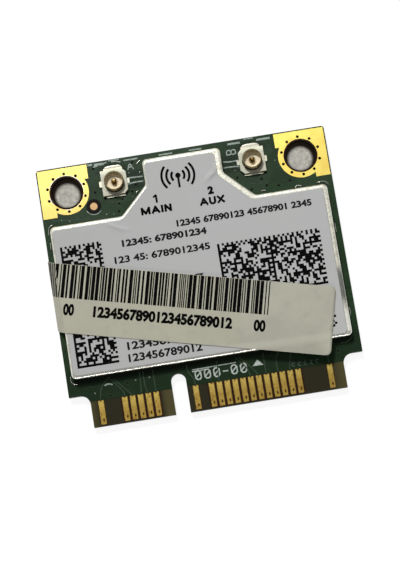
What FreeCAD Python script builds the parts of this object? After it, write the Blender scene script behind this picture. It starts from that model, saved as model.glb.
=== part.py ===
import FreeCAD, Part
import math
import os
import re
import Sketcher

# Half-size mini card for a laptop's wireless slot, in millimetres. +Z points up on the component
# side, +X along the card's width and +Y towards the screw holes. The origin lies midway between
# the two screw holes, on the underside of the board.

SIZES = (
    # board, tongue and key
    ("board_length", 26.8),
    ("board_thickness", 1.0),
    ("board_corner_radius", 0.3),
    ("shoulder_width", 2.075),
    ("tongue_length", 3.35),
    ("tongue_fillet", 1.0),
    ("tongue_bevel", 0.12),
    ("tongue_end_margin", 1.05),
    ("key_width", 1.5),
    ("key_depth", 4.05),
    ("hole_diameter", 3.2),
    ("hole_inset", 2.7),
    ("hole_side_inset", 2.825),
    # copper that shows through the solder mask
    ("foil_thickness", 0.035),
    ("mask_setback", 2.65),
    ("contact_pitch", 0.8),
    ("contact_gap", 0.2),
    ("contact_length", 2.4),
    ("contact_setback", 0.2),
    ("contact_row_gap", 4.0),
    ("contact_stagger", 0.4),
    ("contacts_left_of_key", 8),
    ("contacts_right_of_key", 18),
    ("pad_ring_diameter", 4.6),
    ("pad_edge_margin", 0.12),
    ("pad_arm_width", 1.45),
    ("pad_arm_reach", 2.42),
    ("fiducial_diameter", 0.75),
    ("fiducial_hole_x", 2.55),
    ("fiducial_hole_y", 1.85),
    # antenna receptacles
    ("antenna_hole_distance", 5.0),
    ("antenna_offset", 0.24),
    ("antenna_base_side", 2.6),
    ("antenna_base_height", 0.45),
    ("antenna_base_chamfer", 0.4),
    ("antenna_height", 1.25),
    ("antenna_ring_diameter", 2.0),
    ("antenna_ring_wall", 0.13),
    ("antenna_ring_lip", 0.05),
    ("antenna_groove_gap", 0.2),
    ("antenna_groove_height", 0.25),
    ("antenna_groove_depth", 0.05),
    ("antenna_foot_width", 1.9),
    ("antenna_foot_reach", 0.2),
    ("antenna_foot_height", 0.2),
    ("antenna_foot_tuck", 0.55),
    ("antenna_side_foot_width", 0.6),
    ("antenna_pin_diameter", 0.5),
    ("antenna_pin_drop", 0.2),
    ("antenna_pin_tip", 0.1),
    ("antenna_tail_width", 0.5),
    ("antenna_tail_height", 0.1),
    ("antenna_tail_reach", 0.25),
    # shield frame and lid
    ("shield_height", 1.4),
    ("shield_left_margin", 0.68),
    ("shield_right_margin", 0.8),
    ("shield_key_gap", 0.95),
    ("shield_hole_gap", 3.52),
    ("neck_rear_margin", 0.81),
    ("neck_antenna_distance", 3.08),
    ("neck_slope_run", 2.83),
    ("neck_slope_rise", 2.78),
    ("lid_wall", 0.13),
    ("lid_bend_radius", 0.3),
    ("lid_corner_radius", 0.5),
    ("lid_skirt_gap", 0.2),
    ("lid_corner_notch", 0.65),
    ("lid_fold_notch", 0.35),
    ("frame_clearance", 0.03),
    ("frame_wall", 0.15),
    ("frame_rim_width", 0.7),
    ("frame_bar_width", 1.4),
    ("frame_disc_diameter", 4.0),
    ("frame_slot_width", 1.1),
    ("frame_slot_height", 0.35),
    # label on the lid and service sticker
    ("label_thickness", 0.08),
    ("label_inset", 0.42),
    ("label_shift_x", -0.22),
    ("label_shift_y", -0.02),
    ("label_corner_radius", 0.4),
    ("sticker_thickness", 0.1),
    ("sticker_width", 6.92),
    ("sticker_angle", 14.0),
    ("sticker_reach", 27.5),
    ("sticker_fold_y", -10.79),
    ("sticker_tail", 3.0),
    ("sticker_corner_radius", 0.6),
    ("sticker_fold_radius", 0.12),
    # parts inside the shield
    ("radio_side", 7.0),
    ("radio_height", 0.72),
    ("radio_pitch", 0.5),
    ("radio_lands", 12),
    ("radio_land_width", 0.25),
    ("radio_land_length", 0.5),
    ("radio_pad_side", 4.6),
    ("module_side", 2.5),
    ("module_height", 0.7),
    ("module_pitch", 0.65),
    ("module_lands", 3),
    ("module_land_width", 0.32),
    ("module_land_length", 0.4),
    ("module_pad_side", 1.2),
    ("module_spacing", 3.9),
    ("module_rear_gap", 3.5),
    ("memory_side", 2.6),
    ("memory_height", 0.55),
    ("memory_pitch", 0.65),
    ("memory_lands", 3),
    ("memory_land_width", 0.3),
    ("memory_land_length", 0.4),
    ("memory_pad_side", 1.3),
    ("memory_x", 10.4),
    ("memory_rise", 2.2),
    ("land_height", 0.06),
    ("dimple_diameter", 0.4),
    ("dimple_depth", 0.05),
    ("dimple_inset", 0.6),
    ("crystal_length", 2.5),
    ("crystal_width", 2.0),
    ("crystal_base_height", 0.35),
    ("crystal_lid_height", 0.2),
    ("crystal_lid_inset", 0.2),
    ("crystal_corner_radius", 0.3),
    ("crystal_x", -9.0),
    ("inductor_length", 2.0),
    ("inductor_width", 1.6),
    ("inductor_height", 0.85),
    ("inductor_terminal", 0.4),
    ("inductor_drop", 2.4),
    ("filter_length", 1.6),
    ("filter_width", 0.8),
    ("filter_height", 0.6),
    ("filter_terminal", 0.3),
    ("capacitor_length", 1.0),
    ("capacitor_width", 0.5),
    ("capacitor_height", 0.5),
    ("resistor_length", 1.0),
    ("resistor_width", 0.5),
    ("resistor_height", 0.35),
    ("chip_terminal", 0.22),
    ("bypass_count", 5),
    ("bypass_pitch", 1.2),
    ("bypass_gap", 0.7),
    ("pull_up_count", 8),
    ("pull_up_pitch", 1.5),
    ("pull_up_gap", 1.6),
)

# Places worked out from the sizes. The tongue is as wide as its contact rows need, and the key
# falls where the tongue lies centred on the board.
KEY_X = "(((contacts_left_of_key - contacts_right_of_key) * contact_pitch + contact_stagger) / 2)"
ROW_STEPS = "(contacts_left_of_key + contacts_right_of_key - 2)"
ROW_SPAN = f"({ROW_STEPS} * contact_pitch + contact_row_gap + contact_stagger)"
TONGUE_HALF = f"({ROW_SPAN} / 2 + tongue_end_margin)"
BOARD_HALF = f"({TONGUE_HALF} + shoulder_width)"
REAR = "hole_inset"
FRONT = "(hole_inset - board_length)"
SHOULDER = f"({FRONT} + tongue_length)"
TOP = "board_thickness"
HOLE_X = f"({BOARD_HALF} - hole_side_inset)"
ANTENNA_X = f"({HOLE_X} - antenna_hole_distance)"
SHIELD_LEFT = f"(shield_left_margin - {BOARD_HALF})"
SHIELD_RIGHT = f"({BOARD_HALF} - shield_right_margin)"
SHIELD_FRONT = f"({FRONT} + key_depth + shield_key_gap)"
SHIELD_REAR = "(-shield_hole_gap)"
SHIELD_MIDDLE = f"(({SHIELD_FRONT} + {SHIELD_REAR}) / 2)"
NECK_HALF = f"({ANTENNA_X} - neck_antenna_distance)"
NECK_FOOT = f"({SHIELD_REAR} + neck_slope_rise)"
NECK_REAR = "(hole_inset - neck_rear_margin)"
LID_TOP = "(board_thickness + shield_height)"
RIM_TOP = f"({LID_TOP} - lid_wall)"
INNER_BEND = "(lid_bend_radius - lid_wall)"
FRAME_INSET = "(lid_wall + frame_clearance)"
LABEL_TOP = f"({LID_TOP} + label_thickness)"

# Populated places of the two contact rows, by position number: odd on top, even underneath.
TOP_CONTACTS = (1, 7, 9, 11, 13, 15, 17) + tuple(range(21, 45, 2)) + (51,)
BOTTOM_CONTACTS = (2, 4, 6) + tuple(range(18, 42, 2)) + (44, 48, 50, 52)

LEFT, RIGHT = -1, 1
NEAR = 1e-4
# numbers by which a sketch knows the two ends and the centre of a curve
START, FINISH, CENTRE = range(1, 4)

DOC = FreeCAD.newDocument("wifi_card")


def size_sheet():
    sheet = DOC.addObject("Spreadsheet::Sheet", "size")
    for row, (alias, value) in enumerate(SIZES, start=1):
        sheet.set(f"A{row}", alias)
        sheet.set(f"B{row}", str(value))
        sheet.setAlias(f"B{row}", alias)
    DOC.recompute()
    return sheet


SHEET = size_sheet()


def in_sheet(formula):
    # every size named in a formula becomes a reference to its cell
    return re.sub(r"[a-z]+_\w+", lambda word: "size." + word.group(), formula)


def number(formula):
    return float(SHEET.evalExpression(in_sheet(formula)))


def bind(item, **formulas):
    for prop, formula in formulas.items():
        item.setExpression(prop.replace("__", "."), in_sheet(formula))


def place(item, x="0", y="0", z="0"):
    bind(item, Placement__Base__x=x, Placement__Base__y=y, Placement__Base__z=z)


def new_body(label, x="0", y="0", z="0"):
    body = DOC.addObject("PartDesign::Body", label)
    place(body, x, y, z)
    return body


def sketch_on(body, name, level="0", plane="XY_Plane"):
    sketch = body.newObject("Sketcher::SketchObject", name)
    support = [item for item in body.Origin.OriginFeatures if item.Role == plane]
    sketch.AttachmentSupport = (support[0], [""])
    sketch.MapMode = "FlatFace"
    bind(sketch, AttachmentOffset__Base__z=level)
    return sketch


def fix_distance(sketch, kind, curve, end, formula):
    # a point of a curve is held at a distance from the sketch's origin, along X or Y
    held = sketch.addConstraint(Sketcher.Constraint(kind, -1, 1, curve, end, number(formula)))
    sketch.setExpression(f"Constraints[{held}]", in_sheet(formula))


def fix_point(sketch, curve, end, x, y):
    fix_distance(sketch, "DistanceX", curve, end, x)
    fix_distance(sketch, "DistanceY", curve, end, y)


def arc_between(start, finish, centre, turn):
    # arc from start to finish, anticlockwise where turn is 1 and clockwise where it is -1
    if turn < 0:
        start, finish = finish, start
    angles = [math.atan2(spot.y - centre.y, spot.x - centre.x) for spot in (start, finish)]
    whole = Part.Circle(centre, FreeCAD.Vector(0, 0, 1), (start - centre).Length)
    return Part.ArcOfCircle(whole, *angles)


def outline(sketch, corners, arcs=None):
    # Closed outline through corners given as pairs of formulas. arcs maps the number of a stretch
    # to the centre and turn of the arc that takes the place of its straight line.
    arcs = arcs or {}
    spots = [FreeCAD.Vector(number(x), number(y), 0) for x, y in corners]
    ends = []
    for index, spot in enumerate(spots):
        following = spots[(index + 1) % len(spots)]
        if index in arcs:
            x, y, turn = arcs[index]
            centre = FreeCAD.Vector(number(x), number(y), 0)
            curve = sketch.addGeometry(arc_between(spot, following, centre, turn))
            ends.append((curve, START, FINISH) if turn > 0 else (curve, FINISH, START))
        else:
            curve = sketch.addGeometry(Part.LineSegment(spot, following))
            ends.append((curve, START, FINISH))
    for index, (curve, _, finish) in enumerate(ends):
        next_curve, next_start, _ = ends[(index + 1) % len(ends)]
        sketch.addConstraint(Sketcher.Constraint("Coincident", curve, finish, next_curve, next_start))
    for (curve, start, _), (x, y) in zip(ends, corners):
        fix_point(sketch, curve, start, x, y)
    for index, (x, y, _) in arcs.items():
        chord = spots[(index + 1) % len(spots)] - spots[index]
        if abs(chord.x) > abs(chord.y):
            fix_distance(sketch, "DistanceY", ends[index][0], CENTRE, y)
        else:
            fix_distance(sketch, "DistanceX", ends[index][0], CENTRE, x)


def rectangle(sketch, x0, y0, x1, y1):
    outline(sketch, [(x0, y0), (x1, y0), (x1, y1), (x0, y1)])


def circle(sketch, x, y, diameter):
    centre = FreeCAD.Vector(number(x), number(y), 0)
    curve = sketch.addGeometry(Part.Circle(centre, FreeCAD.Vector(0, 0, 1), number(diameter) / 2))
    fix_point(sketch, curve, CENTRE, x, y)
    held = sketch.addConstraint(Sketcher.Constraint("Diameter", curve, number(diameter)))
    sketch.setExpression(f"Constraints[{held}]", in_sheet(diameter))


def settle(feature):
    # a failed feature stops the build where it fails
    DOC.recompute()
    if {"Invalid", "Error"} & set(feature.State) or not feature.Shape.isValid():
        raise RuntimeError(f"{feature.Name} failed: {feature.getStatusString()}")
    return feature


def pad(body, sketch, name, length, symmetric=False):
    feature = body.newObject("PartDesign::Pad", name)
    feature.Profile = sketch
    if symmetric:
        feature.SideType = "Symmetric"
    bind(feature, Length=length)
    return settle(feature)


def pocket(body, sketch, name, depth=None, against=False):
    # a pocket cuts away from the sketch's normal, or along it where against is set
    before = body.Shape.Volume
    feature = body.newObject("PartDesign::Pocket", name)
    feature.Profile = sketch
    feature.Reversed = against
    if depth is None:
        feature.Type = "ThroughAll"
    else:
        bind(feature, Length=depth)
    settle(feature)
    if body.Shape.Volume >= before:
        raise RuntimeError(f"{name} cuts nothing")
    return feature


def revolve(body, sketch, name):
    feature = body.newObject("PartDesign::Revolution", name)
    feature.Profile = sketch
    feature.ReferenceAxis = (sketch, ["V_Axis"])
    return settle(feature)


def dress(body, kind, name, chosen):
    # a feature on those edges of the body so far for which chosen(edge) holds
    base = body.Tip
    names = [f"Edge{count}" for count, edge in enumerate(base.Shape.Edges, start=1) if chosen(edge)]
    feature = body.newObject(kind, name)
    feature.Base = (base, names)
    return feature


def fillet(body, name, chosen, radius):
    feature = dress(body, "PartDesign::Fillet", name, chosen)
    bind(feature, Radius=radius)
    settle(feature)


def chamfer(body, name, chosen, size):
    feature = dress(body, "PartDesign::Chamfer", name, chosen)
    bind(feature, Size=size)
    settle(feature)


def upright_at(corners):
    # test for upright edges that stand on one of the corners
    spots = [FreeCAD.Vector(number(x), number(y), 0) for x, y in corners]

    def stands(edge):
        low, high = (vertex.Point for vertex in (edge.Vertexes[0], edge.Vertexes[-1]))
        flat = [FreeCAD.Vector(point.x, point.y, 0) for point in (low, high)]
        upright = (flat[0] - flat[1]).Length < NEAR and abs(low.z - high.z) > NEAR
        return upright and any((flat[0] - spot).Length < NEAR for spot in spots)

    return stands


def level_at(height):
    # test for edges that lie flat at a height
    z = number(height)
    return lambda edge: all(abs(z - value) < NEAR for value in (edge.BoundBox.ZMin, edge.BoundBox.ZMax))


def box(label, x, y, z, length, width, height):
    item = DOC.addObject("Part::Box", label)
    bind(item, Length=length, Width=width, Height=height)
    place(item, x, y, z)
    return item


def centred_box(label, x, y, z, length, width, height):
    return box(label, f"{x} - {length} / 2", f"{y} - {width} / 2", z, length, width, height)


def group(label, members):
    item = DOC.addObject("Part::Compound", label)
    item.Links = members
    return item


def pad_outline(sketch, side, hole_x):
    # Ground pad round a screw hole: a ring, square out to the board's corner, with two short arms
    # that end in small steps where they leave the ring.
    outer = f"{hole_x} + {side} * (hole_side_inset - pad_edge_margin)"
    inner = f"{hole_x} + {side} * (hole_side_inset - pad_edge_margin - pad_arm_width)"
    rear = f"({REAR} - pad_edge_margin)"
    shelf = f"({rear} - pad_arm_width)"
    radius = "(pad_ring_diameter / 2)"
    waist = "(hole_side_inset - pad_edge_margin - pad_arm_width)"
    corners = [
        (outer, "-pad_arm_reach"),
        (inner, "-pad_arm_reach"),
        (inner, f"-sqrt({radius} ^ 2 - {waist} ^ 2)"),
        (f"{hole_x} - {side} * sqrt({radius} ^ 2 - {shelf} ^ 2)", shelf),
        (f"{hole_x} - {side} * pad_arm_reach", shelf),
        (f"{hole_x} - {side} * pad_arm_reach", rear),
        (outer, rear),
    ]
    outline(sketch, corners, {2: (hole_x, "0", -side)})


def circuit_board():
    body = new_body("circuit_board")
    key_left = f"({KEY_X} - key_width / 2)"
    key_right = f"({KEY_X} + key_width / 2)"
    key_round = f"({FRONT} + key_depth - key_width / 2)"
    shoulders = [(f"-{TONGUE_HALF}", SHOULDER), (TONGUE_HALF, SHOULDER)]
    rear_corners = [(f"-{BOARD_HALF}", REAR), (BOARD_HALF, REAR)]
    shape = sketch_on(body, "board_outline")
    corners = [
        rear_corners[0],
        (f"-{BOARD_HALF}", SHOULDER),
        shoulders[0],
        (f"-{TONGUE_HALF}", FRONT),
        (key_left, FRONT),
        (key_left, key_round),
        (key_right, key_round),
        (key_right, FRONT),
        (TONGUE_HALF, FRONT),
        shoulders[1],
        (BOARD_HALF, SHOULDER),
        rear_corners[1],
    ]
    outline(shape, corners, {5: (KEY_X, key_round, -1)})
    pad(body, shape, "board_plate", TOP)
    fillet(body, "tongue_roots", upright_at(shoulders), "tongue_fillet")
    fillet(body, "board_corners", upright_at(rear_corners), "board_corner_radius")

    def across_tongue_end(edge):
        return edge.BoundBox.YMax < number(FRONT) + NEAR and edge.BoundBox.XLength > NEAR

    chamfer(body, "tongue_bevels", across_tongue_end, "tongue_bevel")

    holes = sketch_on(body, "screw_holes", TOP)
    for side in (LEFT, RIGHT):
        circle(holes, f"{side} * {HOLE_X}", "0", "hole_diameter")
    pocket(body, holes, "screw_hole_cut")

    # the bare end of the tongue and the pads lie one foil below the mask, so the foil ends flush
    for face, level, against in (("top", TOP, False), ("bottom", "0", True)):
        bare = sketch_on(body, f"{face}_bare_tongue", level)
        margin = "tongue_end_margin"
        rectangle(bare, f"-{TONGUE_HALF} - {margin}", f"{FRONT} - {margin}",
                  f"{TONGUE_HALF} + {margin}", f"{FRONT} + mask_setback")
        pocket(body, bare, f"{face}_tongue_relief", "foil_thickness", against)
        recess = sketch_on(body, f"{face}_pad_outlines", level)
        for side in (LEFT, RIGHT):
            pad_outline(recess, side, f"{side} * {HOLE_X}")
        if face == "top":
            circle(recess, *fiducial_spot(), "fiducial_diameter")
        pocket(body, recess, f"{face}_pad_recess", "foil_thickness", against)
    return body


def contact_x(position):
    # odd places stand half a pitch to the left of the even ones
    middle = f"{KEY_X} - contact_stagger" if position % 2 else KEY_X
    before_key = f"(2 * contacts_left_of_key - {position % 2})"
    if position <= number(before_key):
        return f"{middle} - contact_row_gap / 2 - ({before_key} - {position}) / 2 * contact_pitch"
    return f"{middle} + contact_row_gap / 2 + ({position} - {before_key} - 2) / 2 * contact_pitch"


def edge_contacts(label, positions, level):
    width = "(contact_pitch - contact_gap)"
    members = []
    for position in positions:
        name = f"contact_{position}"
        left = f"{contact_x(position)} - {width} / 2"
        members.append(box(name, left, f"{FRONT} + contact_setback", level,
                           width, "contact_length", "foil_thickness"))
    return group(label, members)


def ground_pad(label, side, level):
    body = new_body(label, f"{side} * {HOLE_X}", "0", level)
    shape = sketch_on(body, f"{label}_outline")
    pad_outline(shape, side, "0")
    pad(body, shape, f"{label}_foil", "foil_thickness")
    hole = sketch_on(body, f"{label}_hole", "foil_thickness")
    circle(hole, "0", "0", "hole_diameter")
    pocket(body, hole, f"{label}_hole_cut")
    return body


def fiducial_spot():
    return f"-{HOLE_X} + fiducial_hole_x", "-fiducial_hole_y"


def fiducial_pad():
    item = DOC.addObject("Part::Cylinder", "fiducial_pad")
    bind(item, Radius="fiducial_diameter / 2", Height="foil_thickness")
    place(item, *fiducial_spot(), f"{TOP} - foil_thickness")
    return item


def feet(sketch, inward):
    # the shell's two broad feet, and the narrow one on the side away from the shield
    half = "antenna_base_side / 2"
    for sense in (LEFT, RIGHT):
        rectangle(sketch, "-antenna_foot_width / 2", f"{sense} * ({half} - antenna_foot_tuck)",
                  "antenna_foot_width / 2", f"{sense} * ({half} + antenna_foot_reach)")
    rectangle(sketch, f"{-inward} * ({half} - antenna_foot_tuck)", "-antenna_side_foot_width / 2",
              f"{-inward} * ({half} + antenna_tail_reach)", "antenna_side_foot_width / 2")


def tail(sketch, inward):
    rectangle(sketch, f"{-inward} * antenna_pin_diameter / 4", "-antenna_tail_width / 2",
              f"{inward} * (antenna_base_side / 2 + antenna_tail_reach)", "antenna_tail_width / 2")


def antenna_insulator(port, side):
    # square moulding with its two corners on the shield's side cut off
    label = f"{port}_antenna_insulator"
    body = new_body(label, f"{side} * {ANTENNA_X}", "antenna_offset", TOP)
    inward = -side
    half = "(antenna_base_side / 2)"
    cut = f"({half} - antenna_base_chamfer)"
    shape = sketch_on(body, f"{label}_outline")
    corners = [
        (f"-{half}", f"-{half}"),
        (cut, f"-{half}"),
        (half, f"-{cut}"),
        (half, cut),
        (cut, half),
        (f"-{half}", half),
    ]
    outline(shape, [(f"{inward} * ({x})", y) for x, y in corners])
    pad(body, shape, f"{label}_block", "antenna_base_height")
    seat = sketch_on(body, f"{label}_ring_seat", "antenna_base_height")
    circle(seat, "0", "0", "antenna_ring_diameter")
    circle(seat, "0", "0", "antenna_ring_diameter - 2 * antenna_ring_wall")
    pocket(body, seat, f"{label}_ring_slot", "antenna_base_height - antenna_foot_height")
    soles = sketch_on(body, f"{label}_foot_seats")
    feet(soles, inward)
    pocket(body, soles, f"{label}_foot_slots", "antenna_foot_height", True)
    strip = sketch_on(body, f"{label}_tail_seat")
    tail(strip, inward)
    pocket(body, strip, f"{label}_tail_slot", "antenna_tail_height", True)
    bore = sketch_on(body, f"{label}_pin_seat", "antenna_base_height")
    circle(bore, "0", "0", "antenna_pin_diameter")
    pocket(body, bore, f"{label}_pin_bore")
    return body


def antenna_shell(port, side):
    # stamped ground shell: a ring with a snap groove, standing on three feet
    label = f"{port}_antenna_shell"
    body = new_body(label, f"{side} * {ANTENNA_X}", "antenna_offset", TOP)
    outer = "(antenna_ring_diameter / 2)"
    inner = f"({outer} - antenna_ring_wall)"
    waist = f"({outer} - antenna_groove_depth)"
    groove = "(antenna_base_height + antenna_groove_gap)"
    groove_end = f"({groove} + antenna_groove_height)"
    section = sketch_on(body, f"{label}_section", plane="XZ_Plane")
    outline(section, [
        (inner, "antenna_foot_height"),
        (outer, "antenna_foot_height"),
        (outer, groove),
        (waist, f"{groove} + antenna_groove_depth"),
        (waist, f"{groove_end} - antenna_groove_depth"),
        (outer, groove_end),
        (outer, "antenna_height - antenna_ring_lip"),
        (f"{outer} - antenna_ring_lip", "antenna_height"),
        (inner, "antenna_height"),
    ])
    revolve(body, section, f"{label}_ring")
    soles = sketch_on(body, f"{label}_foot_outlines")
    feet(soles, -side)
    pad(body, soles, f"{label}_feet", "antenna_foot_height")
    return body


def antenna_pin(port, side):
    # centre contact: a pin with a blunt tip and a tail that runs out to the signal line
    label = f"{port}_antenna_pin"
    body = new_body(label, f"{side} * {ANTENNA_X}", "antenna_offset", TOP)
    radius = "antenna_pin_diameter / 2"
    height = "(antenna_height - antenna_pin_drop)"
    section = sketch_on(body, f"{label}_section", plane="XZ_Plane")
    outline(section, [
        ("0", "0"),
        (radius, "0"),
        (radius, f"{height} - antenna_pin_tip"),
        (f"{radius} - antenna_pin_tip", height),
        ("0", height),
    ])
    revolve(body, section, f"{label}_post")
    strip = sketch_on(body, f"{label}_tail_outline")
    tail(strip, -side)
    pad(body, strip, f"{label}_tail", "antenna_tail_height")
    return body


def shield_corners(inset):
    # The shield's outline moved inwards by inset. Its neck reaches back between the antenna
    # receptacles, and sloped edges join it to the main part.
    slope_shift = f"{inset} * tan(atan(neck_slope_rise / neck_slope_run) / 2)"
    neck_shift = f"{inset} * tan(atan(neck_slope_run / neck_slope_rise) / 2)"
    slope_x = f"{NECK_HALF} + neck_slope_run - {slope_shift}"
    neck_x = f"{NECK_HALF} - {inset}"
    rear = f"{SHIELD_REAR} - {inset}"
    front = f"{SHIELD_FRONT} + {inset}"
    return [
        (f"{SHIELD_LEFT} + {inset}", front),
        (f"{SHIELD_RIGHT} - {inset}", front),
        (f"{SHIELD_RIGHT} - {inset}", rear),
        (slope_x, rear),
        (neck_x, f"{NECK_FOOT} - {neck_shift}"),
        (neck_x, f"{NECK_REAR} - {inset}"),
        (f"-({neck_x})", f"{NECK_REAR} - {inset}"),
        (f"-({neck_x})", f"{NECK_FOOT} - {neck_shift}"),
        (f"-({slope_x})", rear),
        (f"{SHIELD_LEFT} + {inset}", rear),
    ]


OUTER_CORNERS = (*range(3), *range(5, 7), *range(9, 10))
INNER_CORNERS = (*range(3, 5), *range(7, 9))


def pick(corners, chosen):
    return [corners[index] for index in chosen]


def shield_lid():
    # drawn from thin sheet: a rounded bend all round and a skirt that is notched at every corner
    body = new_body("shield_lid")
    skirt = f"({TOP} + lid_skirt_gap)"
    outside = shield_corners("0")
    shape = sketch_on(body, "lid_outline", skirt)
    outline(shape, outside)
    pad(body, shape, "lid_block", "shield_height - lid_skirt_gap")
    inside = shield_corners("lid_wall")
    hollow = sketch_on(body, "lid_hollow_outline", skirt)
    outline(hollow, inside)
    pocket(body, hollow, "lid_hollow", "shield_height - lid_skirt_gap - lid_wall", True)
    rounds = (
        ("hollow_corners", inside, OUTER_CORNERS, "lid_corner_radius - lid_wall"),
        ("hollow_folds", inside, INNER_CORNERS, "lid_corner_radius + lid_wall"),
        ("corners", outside, OUTER_CORNERS, "lid_corner_radius"),
        ("folds", outside, INNER_CORNERS, "lid_corner_radius"),
    )
    for name, corners, chosen, radius in rounds:
        fillet(body, f"lid_{name}", upright_at(pick(corners, chosen)), radius)
    fillet(body, "lid_bend", level_at(LID_TOP), "lid_bend_radius")
    chamfer(body, "lid_inner_bend", level_at(RIM_TOP), f"{INNER_BEND} * (2 - sqrt(2))")
    notches = sketch_on(body, "lid_notch_outlines", skirt)
    for chosen, reach in ((OUTER_CORNERS, "lid_corner_notch"), (INNER_CORNERS, "lid_fold_notch")):
        for x, y in pick(outside, chosen):
            rectangle(notches, f"{x} - {reach}", f"{y} - {reach}", f"{x} + {reach}", f"{y} + {reach}")
    pocket(body, notches, "lid_notches", "shield_height - lid_skirt_gap - lid_bend_radius", True)
    return body


def shield_frame():
    # soldered fence with an inward rim, a bar across and a round pick-up place
    body = new_body("shield_frame")
    outside = shield_corners(FRAME_INSET)
    shape = sketch_on(body, "frame_outline", TOP)
    outline(shape, outside)
    height = "(shield_height - lid_wall)"
    pad(body, shape, "frame_block", height)
    hollow = sketch_on(body, "frame_hollow_outline", TOP)
    outline(hollow, shield_corners(f"({FRAME_INSET} + frame_wall)"))
    pocket(body, hollow, "frame_hollow", f"{height} - frame_wall", True)
    fillet(body, "frame_corners", upright_at(pick(outside, OUTER_CORNERS)), "lid_corner_radius - lid_wall")
    fillet(body, "frame_folds", upright_at(pick(outside, INNER_CORNERS)), "lid_corner_radius")
    chamfer(body, "frame_bend", level_at(RIM_TOP), INNER_BEND)
    window = sketch_on(body, "frame_window_outline", RIM_TOP)
    outline(window, shield_corners(f"({FRAME_INSET} + frame_rim_width)"))
    pocket(body, window, "frame_window", "frame_wall")
    bar = sketch_on(body, "frame_bar_outline", f"{RIM_TOP} - frame_wall")
    reach = "(lid_wall + frame_clearance + frame_wall)"
    rectangle(bar, "-frame_bar_width / 2", f"{SHIELD_FRONT} + {reach}",
              "frame_bar_width / 2", f"{NECK_REAR} - {reach}")
    pad(body, bar, "frame_bar", "frame_wall")
    disc = sketch_on(body, "frame_disc_outline", f"{RIM_TOP} - frame_wall")
    circle(disc, "0", SHIELD_MIDDLE, "frame_disc_diameter")
    pad(body, disc, "frame_disc", "frame_wall")
    # low openings in the neck's sides, where the antenna lines pass under the fence
    slots = sketch_on(body, "frame_slot_outlines", TOP)
    for side in (LEFT, RIGHT):
        rectangle(slots, f"{side} * ({NECK_HALF} - 2 * {reach})", "antenna_offset - frame_slot_width / 2",
                  f"{side} * ({NECK_HALF} + {reach})", "antenna_offset + frame_slot_width / 2")
    pocket(body, slots, "frame_slots", "frame_slot_height", True)
    return body


def shield_label():
    body = new_body("shield_label", "label_shift_x", "label_shift_y", LID_TOP)
    corners = shield_corners("label_inset")
    shape = sketch_on(body, "label_outline")
    outline(shape, corners)
    pad(body, shape, "label_film", "label_thickness")
    fillet(body, "label_corners", upright_at(corners), "label_corner_radius")
    return body


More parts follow.
